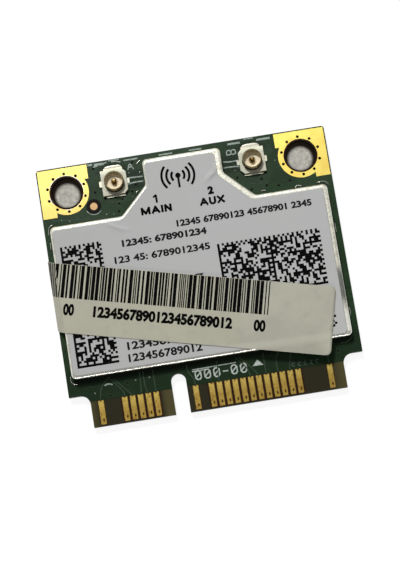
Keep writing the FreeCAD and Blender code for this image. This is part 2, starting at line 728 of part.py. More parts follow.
def barcode_sticker():
    # A strip laid askew across the lid. At the lid's left edge it folds down to the board's edge,
    # round it and a little way under the board. Folding moves its long edges along Y by the
    # strip's slope times the unrolled length.
    body = new_body("barcode_sticker")
    thick = "sticker_thickness"
    rise = "(shield_height + label_thickness)"
    down = f"tan(atan({rise} / shield_left_margin) / 2)"
    upright = f"tan(atan(shield_left_margin / {rise}) / 2)"
    edge = f"-{BOARD_HALF}"
    far = f"({SHIELD_LEFT} + sticker_reach + sticker_width)"
    under = f"({edge} + sticker_tail + sticker_width)"
    section = sketch_on(body, "sticker_section", plane="XZ_Plane")
    outline(section, [
        (far, LABEL_TOP),
        (SHIELD_LEFT, LABEL_TOP),
        (edge, TOP),
        (edge, "0"),
        (under, "0"),
        (under, f"-{thick}"),
        (f"{edge} - {thick}", f"-{thick}"),
        (f"{edge} - {thick}", f"{TOP} + {thick} * {upright}"),
        (f"{SHIELD_LEFT} - {thick} * {down}", f"{LABEL_TOP} + {thick}"),
        (far, f"{LABEL_TOP} + {thick}"),
    ])
    pad(body, section, "sticker_sheet", "2 * board_length", symmetric=True)
    folds = [
        (f"{edge} - {thick}", f"-{thick}"),
        (f"{edge} - {thick}", f"{TOP} + {thick} * {upright}"),
        (f"{SHIELD_LEFT} - {thick} * {down}", f"{LABEL_TOP} + {thick}"),
    ]
    spots = [(number(x), number(z)) for x, z in folds]

    def on_fold(edge_line):
        point = edge_line.CenterOfMass
        along = edge_line.BoundBox.YLength > number("board_length")
        return along and any(math.hypot(point.x - x, point.z - z) < NEAR for x, z in spots)

    fillet(body, "sticker_folds", on_fold, "sticker_fold_radius")

    slope = "tan(sticker_angle)"
    half = "(sticker_width / 2 / cos(sticker_angle))"
    down_length = f"sqrt(shield_left_margin ^ 2 + {rise} ^ 2)"
    at_edge = f"(sticker_fold_y + {slope} * {down_length})"
    at_back = f"({at_edge} + {slope} * {TOP})"
    outside = f"({edge} - 2 * {thick})"
    beyond = "(board_length + sticker_width / 2)"
    end_x = f"({SHIELD_LEFT} + sticker_reach * cos(sticker_angle))"
    end_y = "(sticker_fold_y - sticker_reach * sin(sticker_angle))"
    across_x = "sticker_width / 2 * sin(sticker_angle)"
    across_y = "sticker_width / 2 * cos(sticker_angle)"
    right_end = [
        (f"{end_x} - {across_x}", f"{end_y} - {across_y}"),
        (f"{end_x} + {across_x}", f"{end_y} + {across_y}"),
    ]
    crown = sketch_on(body, "sticker_top_outline", TOP)
    rectangle(crown, f"{outside} - {thick}", f"-{beyond}", f"{far} + {thick}", beyond)
    outline(crown, [
        (outside, f"{at_edge} - {half}"),
        (edge, f"{at_edge} - {half}"),
        (SHIELD_LEFT, f"sticker_fold_y - {half}"),
        right_end[0],
        right_end[1],
        (SHIELD_LEFT, f"sticker_fold_y + {half}"),
        (edge, f"{at_edge} + {half}"),
        (outside, f"{at_edge} + {half}"),
    ])
    pocket(body, crown, "sticker_top_cut", against=True)

    flank = sketch_on(body, "sticker_side_outline", edge, "YZ_Plane")
    for sense in (LEFT, RIGHT):
        outline(flank, [
            (f"{at_edge} + {sense} * {half}", TOP),
            (f"{at_back} + {sense} * {half}", "0"),
            (f"{at_back} + {sense} * {half}", f"-{thick}"),
            (f"{sense} * {beyond}", f"-{thick}"),
            (f"{sense} * {beyond}", TOP),
        ])
    pocket(body, flank, "sticker_side_cut", f"2 * {thick}")

    short = f"(sticker_tail - {across_x})"
    long = f"(sticker_tail + {across_x})"
    tail_sketch = sketch_on(body, "sticker_tail_outline")
    rectangle(tail_sketch, f"{outside} - {thick}", f"-{beyond}", f"{under} + {thick}", beyond)
    outline(tail_sketch, [
        (outside, f"{at_back} - {half}"),
        (edge, f"{at_back} - {half}"),
        (f"{edge} + {long}", f"{at_back} + {slope} * {long} - {half}"),
        (f"{edge} + {short}", f"{at_back} + {slope} * {short} + {half}"),
        (edge, f"{at_back} + {half}"),
        (outside, f"{at_back} + {half}"),
    ])
    pocket(body, tail_sketch, "sticker_tail_cut")
    fillet(body, "sticker_corners", upright_at(right_end), "sticker_corner_radius")
    return body


def chip_body(label, kind, x, y):
    # leadless package: a moulded square with a dimple that marks its first land
    body = new_body(label, x, y, f"{TOP} + land_height")
    half = f"{kind}_side / 2"
    shape = sketch_on(body, f"{label}_outline")
    rectangle(shape, f"-{half}", f"-{half}", half, half)
    pad(body, shape, f"{label}_block", f"{kind}_height")
    mark = sketch_on(body, f"{label}_dimple_outline", f"{kind}_height")
    circle(mark, f"dimple_inset - {half}", f"{half} - dimple_inset", "dimple_diameter")
    pocket(body, mark, f"{label}_dimple", "dimple_depth")
    return body


def chip_lands(label, kind, x, y):
    # solder lands along the four sides, and one square pad in the middle
    half = f"{kind}_side / 2"
    wide, deep = f"{kind}_land_width", f"{kind}_land_length"
    square = f"{kind}_pad_side"
    members = [centred_box(f"{label}_centre", x, y, TOP, square, square, "land_height")]
    for index in range(int(number(f"{kind}_lands"))):
        step = f"({index} - ({kind}_lands - 1) / 2) * {kind}_pitch"
        for sense in (LEFT, RIGHT):
            away = f"{sense} * ({half} - {deep} / 2)"
            members.append(centred_box(f"{label}_row", f"{x} + {step}", f"{y} + {away}", TOP,
                                       wide, deep, "land_height"))
            members.append(centred_box(f"{label}_column", f"{x} + {away}", f"{y} + {step}", TOP,
                                       deep, wide, "land_height"))
    return group(label, members)


def crystal_base():
    body = new_body("crystal_base", "crystal_x", SHIELD_MIDDLE, TOP)
    shape = sketch_on(body, "crystal_base_outline")
    rectangle(shape, "-crystal_length / 2", "-crystal_width / 2", "crystal_length / 2", "crystal_width / 2")
    pad(body, shape, "crystal_base_block", "crystal_base_height")
    return body


def crystal_lid():
    body = new_body("crystal_lid", "crystal_x", SHIELD_MIDDLE, f"{TOP} + crystal_base_height")
    x = "(crystal_length / 2 - crystal_lid_inset)"
    y = "(crystal_width / 2 - crystal_lid_inset)"
    shape = sketch_on(body, "crystal_lid_outline")
    rectangle(shape, f"-{x}", f"-{y}", x, y)
    pad(body, shape, "crystal_lid_plate", "crystal_lid_height")
    corners = [(f"{a}{x}", f"{b}{y}") for a in ("-", "") for b in ("-", "")]
    fillet(body, "crystal_lid_corners", upright_at(corners), "crystal_corner_radius")
    return body


def two_ended(kind, terminal, spots):
    # Chip parts with a metal cap at each end. Each spot gives the middle and whether the part
    # lies along X; the result is the list of bodies and the list of caps.
    long, wide, high = f"{kind}_length", f"{kind}_width", f"{kind}_height"
    core = f"({long} - 2 * {terminal})"
    reach = f"({long} / 2 - {terminal} / 2)"
    bodies, caps = [], []
    for x, y, along_x in spots:
        shape = (core, wide) if along_x else (wide, core)
        bodies.append(centred_box(f"{kind}_body", x, y, TOP, *shape, high))
        cap = (terminal, wide) if along_x else (wide, terminal)
        for sense in (LEFT, RIGHT):
            shift = f"{sense} * {reach}"
            spot = (f"{x} + {shift}", y) if along_x else (x, f"{y} + {shift}")
            caps.append(centred_box(f"{kind}_cap", *spot, TOP, *cap, high))
    return bodies, caps


def bypass_spots():
    # a column of capacitors down each side of the radio chip
    spots = []
    for index in range(int(number("bypass_count"))):
        y = f"{SHIELD_MIDDLE} + ({index} - (bypass_count - 1) / 2) * bypass_pitch"
        for sense in (LEFT, RIGHT):
            x = f"{sense} * (radio_side / 2 + bypass_gap + capacitor_length / 2)"
            spots.append((x, y, True))
    return spots


def pull_up_spots():
    # a row of resistors along the shield's front wall
    y = f"{SHIELD_FRONT} + pull_up_gap"
    steps = range(int(number("pull_up_count")))
    return [(f"({index} - (pull_up_count - 1) / 2) * pull_up_pitch", y, False) for index in steps]


def chip_parts():
    nodes = []
    kinds = (
        ("capacitor_bodies", "capacitor_terminals", "capacitor", "chip_terminal", bypass_spots()),
        ("resistor_bodies", "resistor_terminals", "resistor", "chip_terminal", pull_up_spots()),
        ("supply_inductor", "inductor_terminals", "inductor", "inductor_terminal",
         [("memory_x", f"{SHIELD_MIDDLE} - inductor_drop", True)]),
        ("antenna_filters", "filter_terminals", "filter", "filter_terminal",
         [(f"{side} * module_spacing / 2", "antenna_offset", True) for side in (LEFT, RIGHT)]),
    )
    for body_label, cap_label, kind, terminal, spots in kinds:
        bodies, caps = two_ended(kind, terminal, spots)
        nodes.append(group(body_label, bodies))
        nodes.append(group(cap_label, caps))
    return nodes


def chips():
    places = (
        ("radio_chip", "radio", "0", SHIELD_MIDDLE),
        ("memory_chip", "memory", "memory_x", f"{SHIELD_MIDDLE} + memory_rise"),
        ("main_front_end", "module", "-module_spacing / 2", f"{NECK_REAR} - module_rear_gap"),
        ("aux_front_end", "module", "module_spacing / 2", f"{NECK_REAR} - module_rear_gap"),
    )
    nodes = []
    for label, kind, x, y in places:
        nodes.append(chip_body(label, kind, x, y))
        nodes.append(chip_lands(f"{label}_lands", kind, x, y))
    return nodes


def build():
    top_foil = f"{TOP} - foil_thickness"
    nodes = [
        circuit_board(),
        edge_contacts("top_edge_contacts", TOP_CONTACTS, top_foil),
        edge_contacts("bottom_edge_contacts", BOTTOM_CONTACTS, "0"),
        fiducial_pad(),
    ]
    for name, side in (("left", LEFT), ("right", RIGHT)):
        nodes.append(ground_pad(f"{name}_ground_pad_top", side, top_foil))
        nodes.append(ground_pad(f"{name}_ground_pad_bottom", side, "0"))
    for port, side in (("main", LEFT), ("aux", RIGHT)):
        nodes.append(antenna_insulator(port, side))
        nodes.append(antenna_shell(port, side))
        nodes.append(antenna_pin(port, side))
    nodes += [shield_frame(), shield_lid(), shield_label(), barcode_sticker()]
    nodes += chips()
    nodes += [crystal_base(), crystal_lid()]
    nodes += chip_parts()
    DOC.recompute()
    return nodes


def check(nodes):
    for item in DOC.Objects:
        if {"Invalid", "Error"} & set(item.State):
            raise RuntimeError(f"{item.Name} failed: {item.State}")
    for node in nodes:
        if node.Shape.isNull() or not node.Shape.isValid() or not node.Shape.Solids:
            raise RuntimeError(f"{node.Label} has no valid solid")


NODES = build()
check(NODES)
os.makedirs("parts", exist_ok=True)
for node in NODES:
    node.Shape.exportStep(f"parts/{node.Label}.step")
    print(node.Label, len(node.Shape.Solids), round(node.Shape.Volume, 4))
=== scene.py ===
import bmesh
import bpy
import numpy as np
from mathutils import Matrix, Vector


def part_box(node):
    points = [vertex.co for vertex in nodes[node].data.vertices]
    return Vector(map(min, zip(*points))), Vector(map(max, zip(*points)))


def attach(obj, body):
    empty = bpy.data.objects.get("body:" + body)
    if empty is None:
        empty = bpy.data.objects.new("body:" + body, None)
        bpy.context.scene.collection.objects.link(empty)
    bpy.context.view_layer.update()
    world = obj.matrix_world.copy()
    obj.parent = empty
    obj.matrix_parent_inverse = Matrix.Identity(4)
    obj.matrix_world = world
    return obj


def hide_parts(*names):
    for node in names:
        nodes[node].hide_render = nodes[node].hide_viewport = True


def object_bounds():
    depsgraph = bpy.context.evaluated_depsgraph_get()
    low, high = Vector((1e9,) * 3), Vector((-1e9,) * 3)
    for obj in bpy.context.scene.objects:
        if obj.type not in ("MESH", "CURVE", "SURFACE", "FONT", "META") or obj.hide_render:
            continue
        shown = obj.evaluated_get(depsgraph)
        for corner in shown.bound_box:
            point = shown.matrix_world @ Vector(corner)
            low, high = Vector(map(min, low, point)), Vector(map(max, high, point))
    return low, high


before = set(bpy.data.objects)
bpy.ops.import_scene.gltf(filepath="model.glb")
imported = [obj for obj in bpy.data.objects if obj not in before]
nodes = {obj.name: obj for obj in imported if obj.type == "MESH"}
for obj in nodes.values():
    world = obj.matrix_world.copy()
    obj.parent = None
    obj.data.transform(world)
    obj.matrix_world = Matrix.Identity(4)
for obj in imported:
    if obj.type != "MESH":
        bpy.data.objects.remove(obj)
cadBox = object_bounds()
mm = 0.001
print("frame loaded:", len(nodes), "nodes")


def cadMm(name):
    # lowest and highest corner of a CAD node in millimetres
    low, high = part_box(name)
    return np.array(low) / mm, np.array(high) / mm


boardLow, boardHigh = cadMm("circuit_board")
lidLow, lidHigh = cadMm("shield_lid")
labelLow, labelHigh = cadMm("shield_label")
boardTop = boardHigh[2]
labelTop = labelHigh[2]
portTop = cadMm("aux_antenna_insulator")[1][2]  # top of a port's moulding, below its ring
holeX = 12.1  # screw holes lie at +-holeX on the X axis
portX, portY = 7.10, 0.24  # axes of the antenna ports, at +-portX
contactPitch = 0.8
inkLift = 0.008  # print stands this high
sunk = 0.02  # print and small details reach this deep into what carries them
inkCrown = 0.98  # share of a printed line's width that is left at its top


# meshes from whole arrays

def quadGrid(rows, cols, wrap=False):
    # one quad per cell of a rows x cols grid; wrap joins the last column to the first
    row = np.arange(rows - 1)[:, None] * cols
    col = np.arange(cols if wrap else cols - 1)[None, :]
    following = (col + 1) % cols
    corners = (row + col, row + following, row + cols + following, row + cols + col)
    return np.stack([np.broadcast_to(c, (rows - 1, col.shape[1])) for c in corners], -1).reshape(-1, 4)


def sheetFaces(rows, cols):
    # upper grid, lower grid turned over, and a wall round the rim
    count = rows * cols
    upper = quadGrid(rows, cols)
    rim = np.concatenate([
        np.arange(cols),
        np.arange(1, rows) * cols + cols - 1,
        (rows - 1) * cols + np.arange(cols - 2, -1, -1),
        np.arange(rows - 2, 0, -1) * cols,
    ])
    ahead = np.roll(rim, -1)
    wall = np.stack([rim + count, ahead + count, ahead, rim], -1)
    return np.concatenate([upper, upper[:, ::-1] + count, wall])


def sheetPair(upper, lower):
    # two grids of points of one size become a closed sheet
    return np.stack([upper, lower]).reshape(-1, 3), [sheetFaces(*upper.shape[:2])]


def joined(parts):
    # several (points, list of face arrays) become one
    points, faces, start = [], [], 0
    for partPoints, partFaces in parts:
        points.append(partPoints)
        faces += [array + start for array in partFaces]
        start += len(partPoints)
    return np.concatenate(points), faces


def tiles(rects, surface, across=1, along=1, lift=inkLift):
    # each rectangle u0, v0, u1, v1 becomes a thin closed tile: its grid is spread evenly between the
    # corners, then laid on the surface, once raised by lift and once sunk in
    rects = np.asarray(rects, float)[:, :, None, None]
    u = rects[:, 0] + (rects[:, 2] - rects[:, 0]) * np.linspace(0, 1, across + 1)
    v = rects[:, 1] + (rects[:, 3] - rects[:, 1]) * np.linspace(0, 1, along + 1)[:, None]
    u, v = np.broadcast_arrays(u, v)
    both = np.stack([surface(u, v, lift), surface(u, v, -sunk)], 1)
    start = np.arange(len(rects))[:, None, None] * 2 * (across + 1) * (along + 1)
    return both.reshape(-1, 3), [(sheetFaces(along + 1, across + 1) + start).reshape(-1, 4)]


def turned(profile, spots, sides, hollow=False):
    # a profile of (radius, height) turned about an upright axis at each spot (x, y, z); a hollow
    # profile is a closed loop, any other starts and ends on the axis and gets a point there
    profile = np.asarray(profile, float)
    inner = profile if hollow else profile[1:-1]
    rows = len(inner)
    angle = np.linspace(0, 2 * np.pi, sides, endpoint=False)
    ring = np.stack([np.cos(angle), np.sin(angle)], -1)
    heights = np.broadcast_to(inner[:, None, 1:], (rows, sides, 1))
    base = np.concatenate([inner[:, None, :1] * ring, heights], -1).reshape(-1, 3)
    if hollow:
        quads = quadGrid(rows + 1, sides, True) % (rows * sides)
        fans = np.zeros((0, 3), int)
    else:
        quads = quadGrid(rows, sides, True)
        first, last = rows * sides, rows * sides + 1
        base = np.concatenate([base, [[0, 0, profile[0, 1]], [0, 0, profile[-1, 1]]]])
        col = np.arange(sides)
        ahead = (col + 1) % sides
        outer = (rows - 1) * sides
        fans = np.concatenate([
            np.stack([np.full(sides, first), ahead, col], -1),
            np.stack([np.full(sides, last), outer + col, outer + ahead], -1),
        ])
    points = (base + np.asarray(spots, float)[:, None]).reshape(-1, 3)
    start = np.arange(len(spots))[:, None, None] * len(base)
    return points, [(quads + start).reshape(-1, 4), (fans + start).reshape(-1, 3)]


def sweep(path, section):
    # a section of (across, up) carried along a path that lies level; the ends are capped
    path = np.asarray(path, float)
    section = np.asarray(section, float)
    run = np.gradient(path[:, :2], axis=0)
    run /= np.linalg.norm(run, axis=1, keepdims=True)
    side = np.stack([-run[:, 1], run[:, 0], np.zeros(len(run))], -1)
    rise = np.array([0, 0, 1.0])
    points = path[:, None] + section[None, :, :1] * side[:, None] + section[None, :, 1:] * rise
    count = len(section)
    quads = quadGrid(len(path), count, True)
    last = (len(path) - 1) * count + np.arange(count)
    return points.reshape(-1, 3), [quads, np.arange(count)[None, ::-1], last[None]]


def spread(line, spacing, closed=False):
    # points at even steps of length along a polyline; a closed one leaves out its last point
    length = np.append(0, np.cumsum(np.linalg.norm(np.diff(line, axis=0), axis=1)))
    steps = int(length[-1] / spacing)
    spots = np.linspace(0, length[-1], steps if closed else max(3, steps + 1), endpoint=not closed)
    return np.stack([np.interp(spots, length, axis) for axis in line.T], -1)


def softened(corners, spacing, rounds=2):
    # corners of a polyline are cut at a quarter and three quarters of each run, a few times over,
    # then points are spread evenly by length
    line = np.asarray(corners, float)
    for _ in range(rounds):
        cut = np.stack([0.75 * line[:-1] + 0.25 * line[1:], 0.25 * line[:-1] + 0.75 * line[1:]], 1)
        line = np.concatenate([line[:1], cut.reshape(-1, line.shape[1]), line[-1:]])
    return spread(line, spacing)


def arc(radius, first, last, count):
    # points on a circle about the origin, spread evenly between two angles in degrees
    angle = np.radians(np.linspace(first, last, count))
    return radius * np.stack([np.cos(angle), np.sin(angle)], -1)


def strip(width, height, crown=0.7):
    # section of a flat strip with slanted sides, from its left foot over the top to its right foot
    half = width / 2
    return [(half, 0), (half * crown, height), (-half * crown, height), (-half, 0)]


def bead(width, height, steps=8):
    # half-round section: across follows a cosine and up a sine
    angle = np.linspace(0, np.pi, steps)
    return np.stack([width / 2 * np.cos(angle), height * np.sin(angle)], -1)


def lettering(text, height, width, weight):
    # letters as a closed mesh centred on the origin, scaled to a height and a width; weight thickens
    # the strokes, and +0.5 and -0.5 in Z mark the face and the back
    curve = bpy.data.curves.new("lettering", "FONT")
    curve.body = text
    curve.offset = weight
    curve.extrude = 0.5
    curve.resolution_u = 4
    holder = bpy.data.objects.new("lettering", curve)
    bpy.context.scene.collection.objects.link(holder)
    made = bpy.data.meshes.new_from_object(holder.evaluated_get(bpy.context.evaluated_depsgraph_get()))
    work = bmesh.new()
    work.from_mesh(made)
    bmesh.ops.remove_doubles(work, verts=work.verts, dist=1e-5)
    bmesh.ops.recalc_face_normals(work, faces=work.faces)
    points = np.array([v.co for v in work.verts])
    faces = [np.array([[v.index for v in f.verts]]) for f in work.faces]
    work.free()
    bpy.data.objects.remove(holder)
    bpy.data.curves.remove(curve)
    bpy.data.meshes.remove(made)
    low, high = points.min(0)[:2], points.max(0)[:2]
    points[:, :2] = (points[:, :2] - (low + high) / 2) * (np.array([width, height]) / (high - low))
    return points, faces


def laid(shape, u, v, surface):
    # letters moved to (u, v) and laid on a surface, their faces raised and their backs sunk in
    points, faces = shape
    offset = np.where(points[:, 2] > 0, inkLift, -sunk)
    return surface(points[:, 0] + u, points[:, 1] + v, offset), faces


strokeLook = {
    "foot": 0.002,  # how deep a stroke starts
    "lowest": 0.8,  # share of the print's height that the first stroke of a letter has
    "letters": {  # width of each letter for a height of 1, and its lines in a box of 1 by 1
        "M": (0.86, ((0, 0, 0, 1), (0, 1, 0.5, 0.08), (0.5, 0.08, 1, 1), (1, 1, 1, 0))),
        "A": (0.80, ((0, 0, 0.5, 1), (0.5, 1, 1, 0), (0.2, 0.32, 0.8, 0.32))),
        "I": (0.02, ((0.5, 0, 0.5, 1),)),
        "N": (0.62, ((0, 0, 0, 1), (0, 1, 1, 0), (1, 0, 1, 1))),
        "U": (0.60, ((0, 1, 0, 0.3), (0, 0.3, 0.2, 0.05), (0.2, 0.05, 0.5, 0), (0.5, 0, 0.8, 0.05),
                     (0.8, 0.05, 1, 0.3), (1, 0.3, 1, 1))),
        "X": (0.70, ((0, 0, 1, 1), (0, 1, 1, 0))),
        "0": (0.56, ((0, 0.2, 0, 0.8), (0, 0.8, 0.28, 1), (0.28, 1, 0.72, 1), (0.72, 1, 1, 0.8),
                     (1, 0.8, 1, 0.2), (1, 0.2, 0.72, 0), (0.72, 0, 0.28, 0), (0.28, 0, 0, 0.2),
                     (0.1, 0.25, 0.9, 0.75))),
        "-": (0.46, ((0, 0.48, 1, 0.48),)),
    },
}


def strokeWord(word, x, y, height, width, line, surface):
    # letters of straight strokes, each a strip that runs on by a third of its width at both ends; every
    # stroke of a letter stands a little higher than the one before it
    letters, foot = strokeLook["letters"], strokeLook["foot"]
    boxes = np.array([letters[letter][0] for letter in word]) * height
    gap = (width - line - boxes.sum()) / (len(word) - 1)
    starts = x - (width - line) / 2 + np.append(0, np.cumsum(boxes + gap)[:-1])
    share = np.linspace(0, 1, 4)[None, :, None]
    parts = []
    for letter, start, box in zip(word, starts, boxes):
        strokes = np.array(letters[letter][1], float).reshape(-1, 2, 2)
        ends = strokes * (box, height - line) + (start, y - (height - line) / 2)
        run = ends[:, 1] - ends[:, 0]
        run *= line / 3 / np.linalg.norm(run, axis=1, keepdims=True)
        ends += np.stack([-run, run], 1)
        paths = ends[:, :1] * (1 - share) + ends[:, 1:] * share
        lifts = np.linspace(strokeLook["lowest"], 1.0, len(paths)) * inkLift
        for path, lift in zip(paths, lifts):
            parts.append(sweep(surface(*path.T, -foot), strip(line, lift + foot, inkCrown)))
    return parts


def addPiece(name, shape, material, smooth=False, replaced=()):
    # a shape in millimetres becomes a piece of the card, which may stand for CAD nodes
    points, faces = shape
    mesh = bpy.data.meshes.new(name)
    mesh.from_pydata((points * mm).tolist(), [], [row for array in faces for row in array.tolist()])
    mesh.polygons.foreach_set("use_smooth", np.full(len(mesh.polygons), smooth))
    mesh.materials.append(material)
    mesh.update()
    piece = bpy.data.objects.new(name, mesh)
    bpy.context.scene.collection.objects.link(piece)
    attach(piece, "root")
    if replaced:
        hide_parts(*replaced)


# material nodes; a socket knows its tree, so the helpers take sockets and give sockets

evenly = (0.35, 0.65)  # range of a grain's value that splits a surface about evenly
grainRange = (0.3, 0.7)  # range that nearly all of a grain's values lie in


def isSocket(value):
    return isinstance(value, bpy.types.NodeSocket)


def addNode(tree, kind, sockets=None, **settings):
    # a node whose inputs are linked to sockets or set to values
    made = tree.nodes.new("ShaderNode" + kind)
    for key, value in settings.items():
        setattr(made, key, value)
    for key, value in (sockets or {}).items():
        if isSocket(value):
            tree.links.new(value, made.inputs[key])
        else:
            made.inputs[key].default_value = value
    return made


def calc(operation, first, second=0.0):
    tree = (first if isSocket(first) else second).id_data
    return addNode(tree, "Math", {0: first, 1: second}, operation=operation).outputs[0]


def times(value, *others):
    # product of two or more
    for other in others:
        value = calc("MULTIPLY", value, other)
    return value


def plus(first, second):
    return calc("ADD", first, second)


def minus(first, second):
    return calc("SUBTRACT", first, second)


def most(first, second):
    return calc("MAXIMUM", first, second)


def gapFrom(value, middle):
    # how far a value lies from a middle, to either side
    return calc("ABSOLUTE", minus(value, middle))


def phase(value, first, pitch):
    # place within one pitch, from -0.5 to 0.5
    return minus(calc("FRACT", calc("DIVIDE", minus(value, first), pitch)), 0.5)


def fade(value, low, high):
    # 0 at low and 1 at high, eased between
    sockets = {"Value": value, "From Min": low, "From Max": high}
    return addNode(value.id_data, "MapRange", sockets, interpolation_type="SMOOTHSTEP").outputs[0]


def slope(value, low, high, first=0.0, last=1.0):
    # even change from first to last as the value goes from low to high
    sockets = {"Value": value, "From Min": low, "From Max": high, "To Min": first, "To Max": last}
    return addNode(value.id_data, "MapRange", sockets).outputs[0]


def tint(share, first, second):
    # the first colour where the share is 0, the second where it is 1
    first, second = (colour if isSocket(colour) else (*colour, 1) for colour in (first, second))
    return addNode(share.id_data, "Mix", {0: share, 6: first, 7: second}, data_type="RGBA").outputs[2]


def grain(place, scale, detail=3.0, rough=0.55):
    # noise with about as many grains to a millimetre as the scale says
    sockets = {"Vector": place, "Scale": scale, "Detail": detail, "Roughness": rough}
    return addNode(place.id_data, "TexNoise", sockets).outputs[0]


def stretched(place, scale):
    # the place with each axis scaled, so that a grain has a direction
    return addNode(place.id_data, "Mapping", {"Vector": place, "Scale": scale}).outputs[0]


def axes(vector):
    return addNode(vector.id_data, "SeparateXYZ", {0: vector}).outputs


def fromPair(x, y, spot):
    # level distance from the nearer of two upright axes, at the spot (x, y) and at its mirror image (-x, y)
    folded = addNode(x.id_data, "CombineXYZ", {0: calc("ABSOLUTE", x), 1: y}).outputs[0]
    return addNode(x.id_data, "VectorMath", {0: folded, 1: (*spot, 0)}, operation="DISTANCE").outputs[1]


def facing(tree, kind="Normal"):
    # the three parts of the direction that the surface faces
    return axes(addNode(tree, "NewGeometry").outputs[kind])


def newFinish(name, roughness, metallic=0.0, specular=0.5):
    # a new material and the place on it in millimetres
    material = bpy.data.materials.new(name)
    material.use_nodes = True
    tree = material.node_tree
    inputs = tree.nodes["Principled BSDF"].inputs
    inputs["Roughness"].default_value = roughness
    inputs["Metallic"].default_value = metallic
    inputs["Specular IOR Level"].default_value = specular
    sockets = {0: addNode(tree, "TexCoord").outputs["Object"], 1: (1 / mm,) * 3}
    return material, addNode(tree, "VectorMath", sockets, operation="MULTIPLY").outputs[0]


def dress(material, colour, rough, relief, metal=None):
    # rough is a grain and the two roughnesses it runs between, or a socket; relief is a height, a
    # strength and a depth in millimetres
    height, strength, depth = relief
    if not isSocket(rough):
        rough = slope(rough[0], *grainRange, *rough[1:])
    tree = material.node_tree
    sockets = {"Height": height, "Strength": strength, "Distance": depth * mm}
    bump = addNode(tree, "Bump", sockets).outputs[0]
    inputs = tree.nodes["Principled BSDF"].inputs
    for key, value in (("Base Color", colour), ("Roughness", rough), ("Normal", bump), ("Metallic", metal)):
        if value is not None:
            tree.links.new(value, inputs[key])
    return material


# finishes; pairs of numbers are where a change begins and where it is complete, in millimetres

maskLook = {
    "mask": (0.006, 0.024, 0.006), "overCopper": (0.011, 0.034, 0.010), "dust": (0.029, 0.056, 0.027),
    "coolSheen": (0.023, 0.044, 0.023), "coolSheenY": (-6.0, -3.0),
    "front": (0.003, 0.010, 0.003), "frontY": (-16.0, -19.5),
    "lidShadow": (0.001, 0.0025, 0.001), "footAhead": (-0.62, -0.34), "footUnder": (0.4, 0.2),
    "footSide": (0.25, -0.05),  # these three from the lid's edges
    "clear": (0.002, 0.006, 0.002), "portShadeReach": (2.35, 1.95), "portShadeY": (0.9, 1.3),  # from a port's axis
    "laneOuter": (6.0, 5.7), "laneInner": (4.0, 4.3), "laneFront": (-0.8, -0.5), "laneRear": (1.3, 1.0),
    "laminate": (0.021, 0.019, 0.008), "laminateEnd": (0.070, 0.060, 0.022),
    "tongueMiddle": -0.3, "tongueEnds": (11.4, 12.9), "keyX": -4.75, "keySides": (1.2, 0.4),
    "tongueEdge": -21.45, "tongueSoft": 0.03,
    "thread": (0.050, 0.044, 0.020), "threads": 14.0,
    "gap": (0.022, 0.008, 0.003), "gapX": -11.8, "gapHalf": (0.20, 0.14),
    "rows": ((-7.8, 2.1, 2.0), (3.8, 4.9, 4.8)),  # middle of each row of contacts, and its half width
    "edge": (0.012, 0.015, 0.009), "holeWall": (0.012, 0.007, 0.004), "edgeX": (13.9, 14.5),
}


def solderMask():
    # green mask with copper areas beneath, bare laminate on the tongue, darker cut edges
    look = maskLook
    material, place = newFinish("solder_mask", 0.36, specular=0.12)
    x, y, _ = axes(place)
    aside = calc("ABSOLUTE", x)
    cloud = grain(place, 0.55, 2.0)
    speck = grain(place, 9.0, 4.0)
    mask = tint(fade(cloud, 0.46, 0.54), look["mask"], look["overCopper"])
    # painted sheen: a bluish tint towards the rear stands for the sky mirrored in the mask
    coolSheen = times(fade(grain(place, 0.21, 2.0), 0.45, 0.62), fade(y, *look["coolSheenY"]), 0.7)
    mask = tint(coolSheen, mask, look["coolSheen"])
    mask = tint(fade(speck, 0.35, 0.8), mask, look["dust"])
    mask = tint(times(fade(y, *look["frontY"]), 0.5), mask, look["front"])
    # painted shadow: the mask is painted near black along the front foot of the lid, where the lid's shadow
    # falls
    ahead, under = (np.array(look[key]) + lidLow[1] for key in ("footAhead", "footUnder"))
    foot = times(fade(y, *ahead), fade(y, *under), fade(aside, *(np.array(look["footSide"]) + lidHigh[0])))
    mask = tint(times(foot, 0.75), mask, look["lidShadow"])
    # painted shade: the mask is painted darker behind the ports and beside their lines
    fromAxis = fromPair(x, y, (portX, portY))
    behind = times(fade(fromAxis, *look["portShadeReach"]), fade(y, *(np.array(look["portShadeY"]) + portY)))
    lane = times(fade(aside, *look["laneOuter"]), fade(aside, *look["laneInner"]),
                 fade(y, *look["laneFront"]), fade(y, *look["laneRear"]))
    clear = times(most(behind, lane), fade(speck, 0.62, 0.45), 0.8)
    mask = tint(clear, mask, look["clear"])
    # bare laminate, paler at the ends and beside the key, brown between the contacts
    ends = fade(gapFrom(x, look["tongueMiddle"]), *look["tongueEnds"])
    ends = most(ends, fade(gapFrom(x, look["keyX"]), *look["keySides"]))
    weave = times(*(calc("SINE", times(axis, look["threads"])) for axis in (x, y)))
    laminate = tint(ends, look["laminate"], look["laminateEnd"])
    laminate = tint(times(fade(weave, 0.2, 0.9), 0.25), laminate, look["thread"])
    fromGap = calc("ABSOLUTE", phase(x, look["gapX"], contactPitch))
    inRow = most(*(fade(gapFrom(x, middle), *half) for middle, *half in look["rows"]))
    laminate = tint(times(inRow, fade(fromGap, *look["gapHalf"])), laminate, look["gap"])
    tongue, soft = look["tongueEdge"], look["tongueSoft"]
    flat = tint(fade(y, tongue + soft, tongue - soft), mask, laminate)
    cutEdge = tint(fade(aside, *look["edgeX"]), look["holeWall"], look["edge"])
    level = fade(calc("ABSOLUTE", facing(material.node_tree, "True Normal")[2]), 0.35, 0.6)
    height = plus(speck, times(cloud, 1.5))
    return dress(material, tint(level, cutEdge, flat), (speck, 0.28, 0.46), (height, 0.35, 0.03))


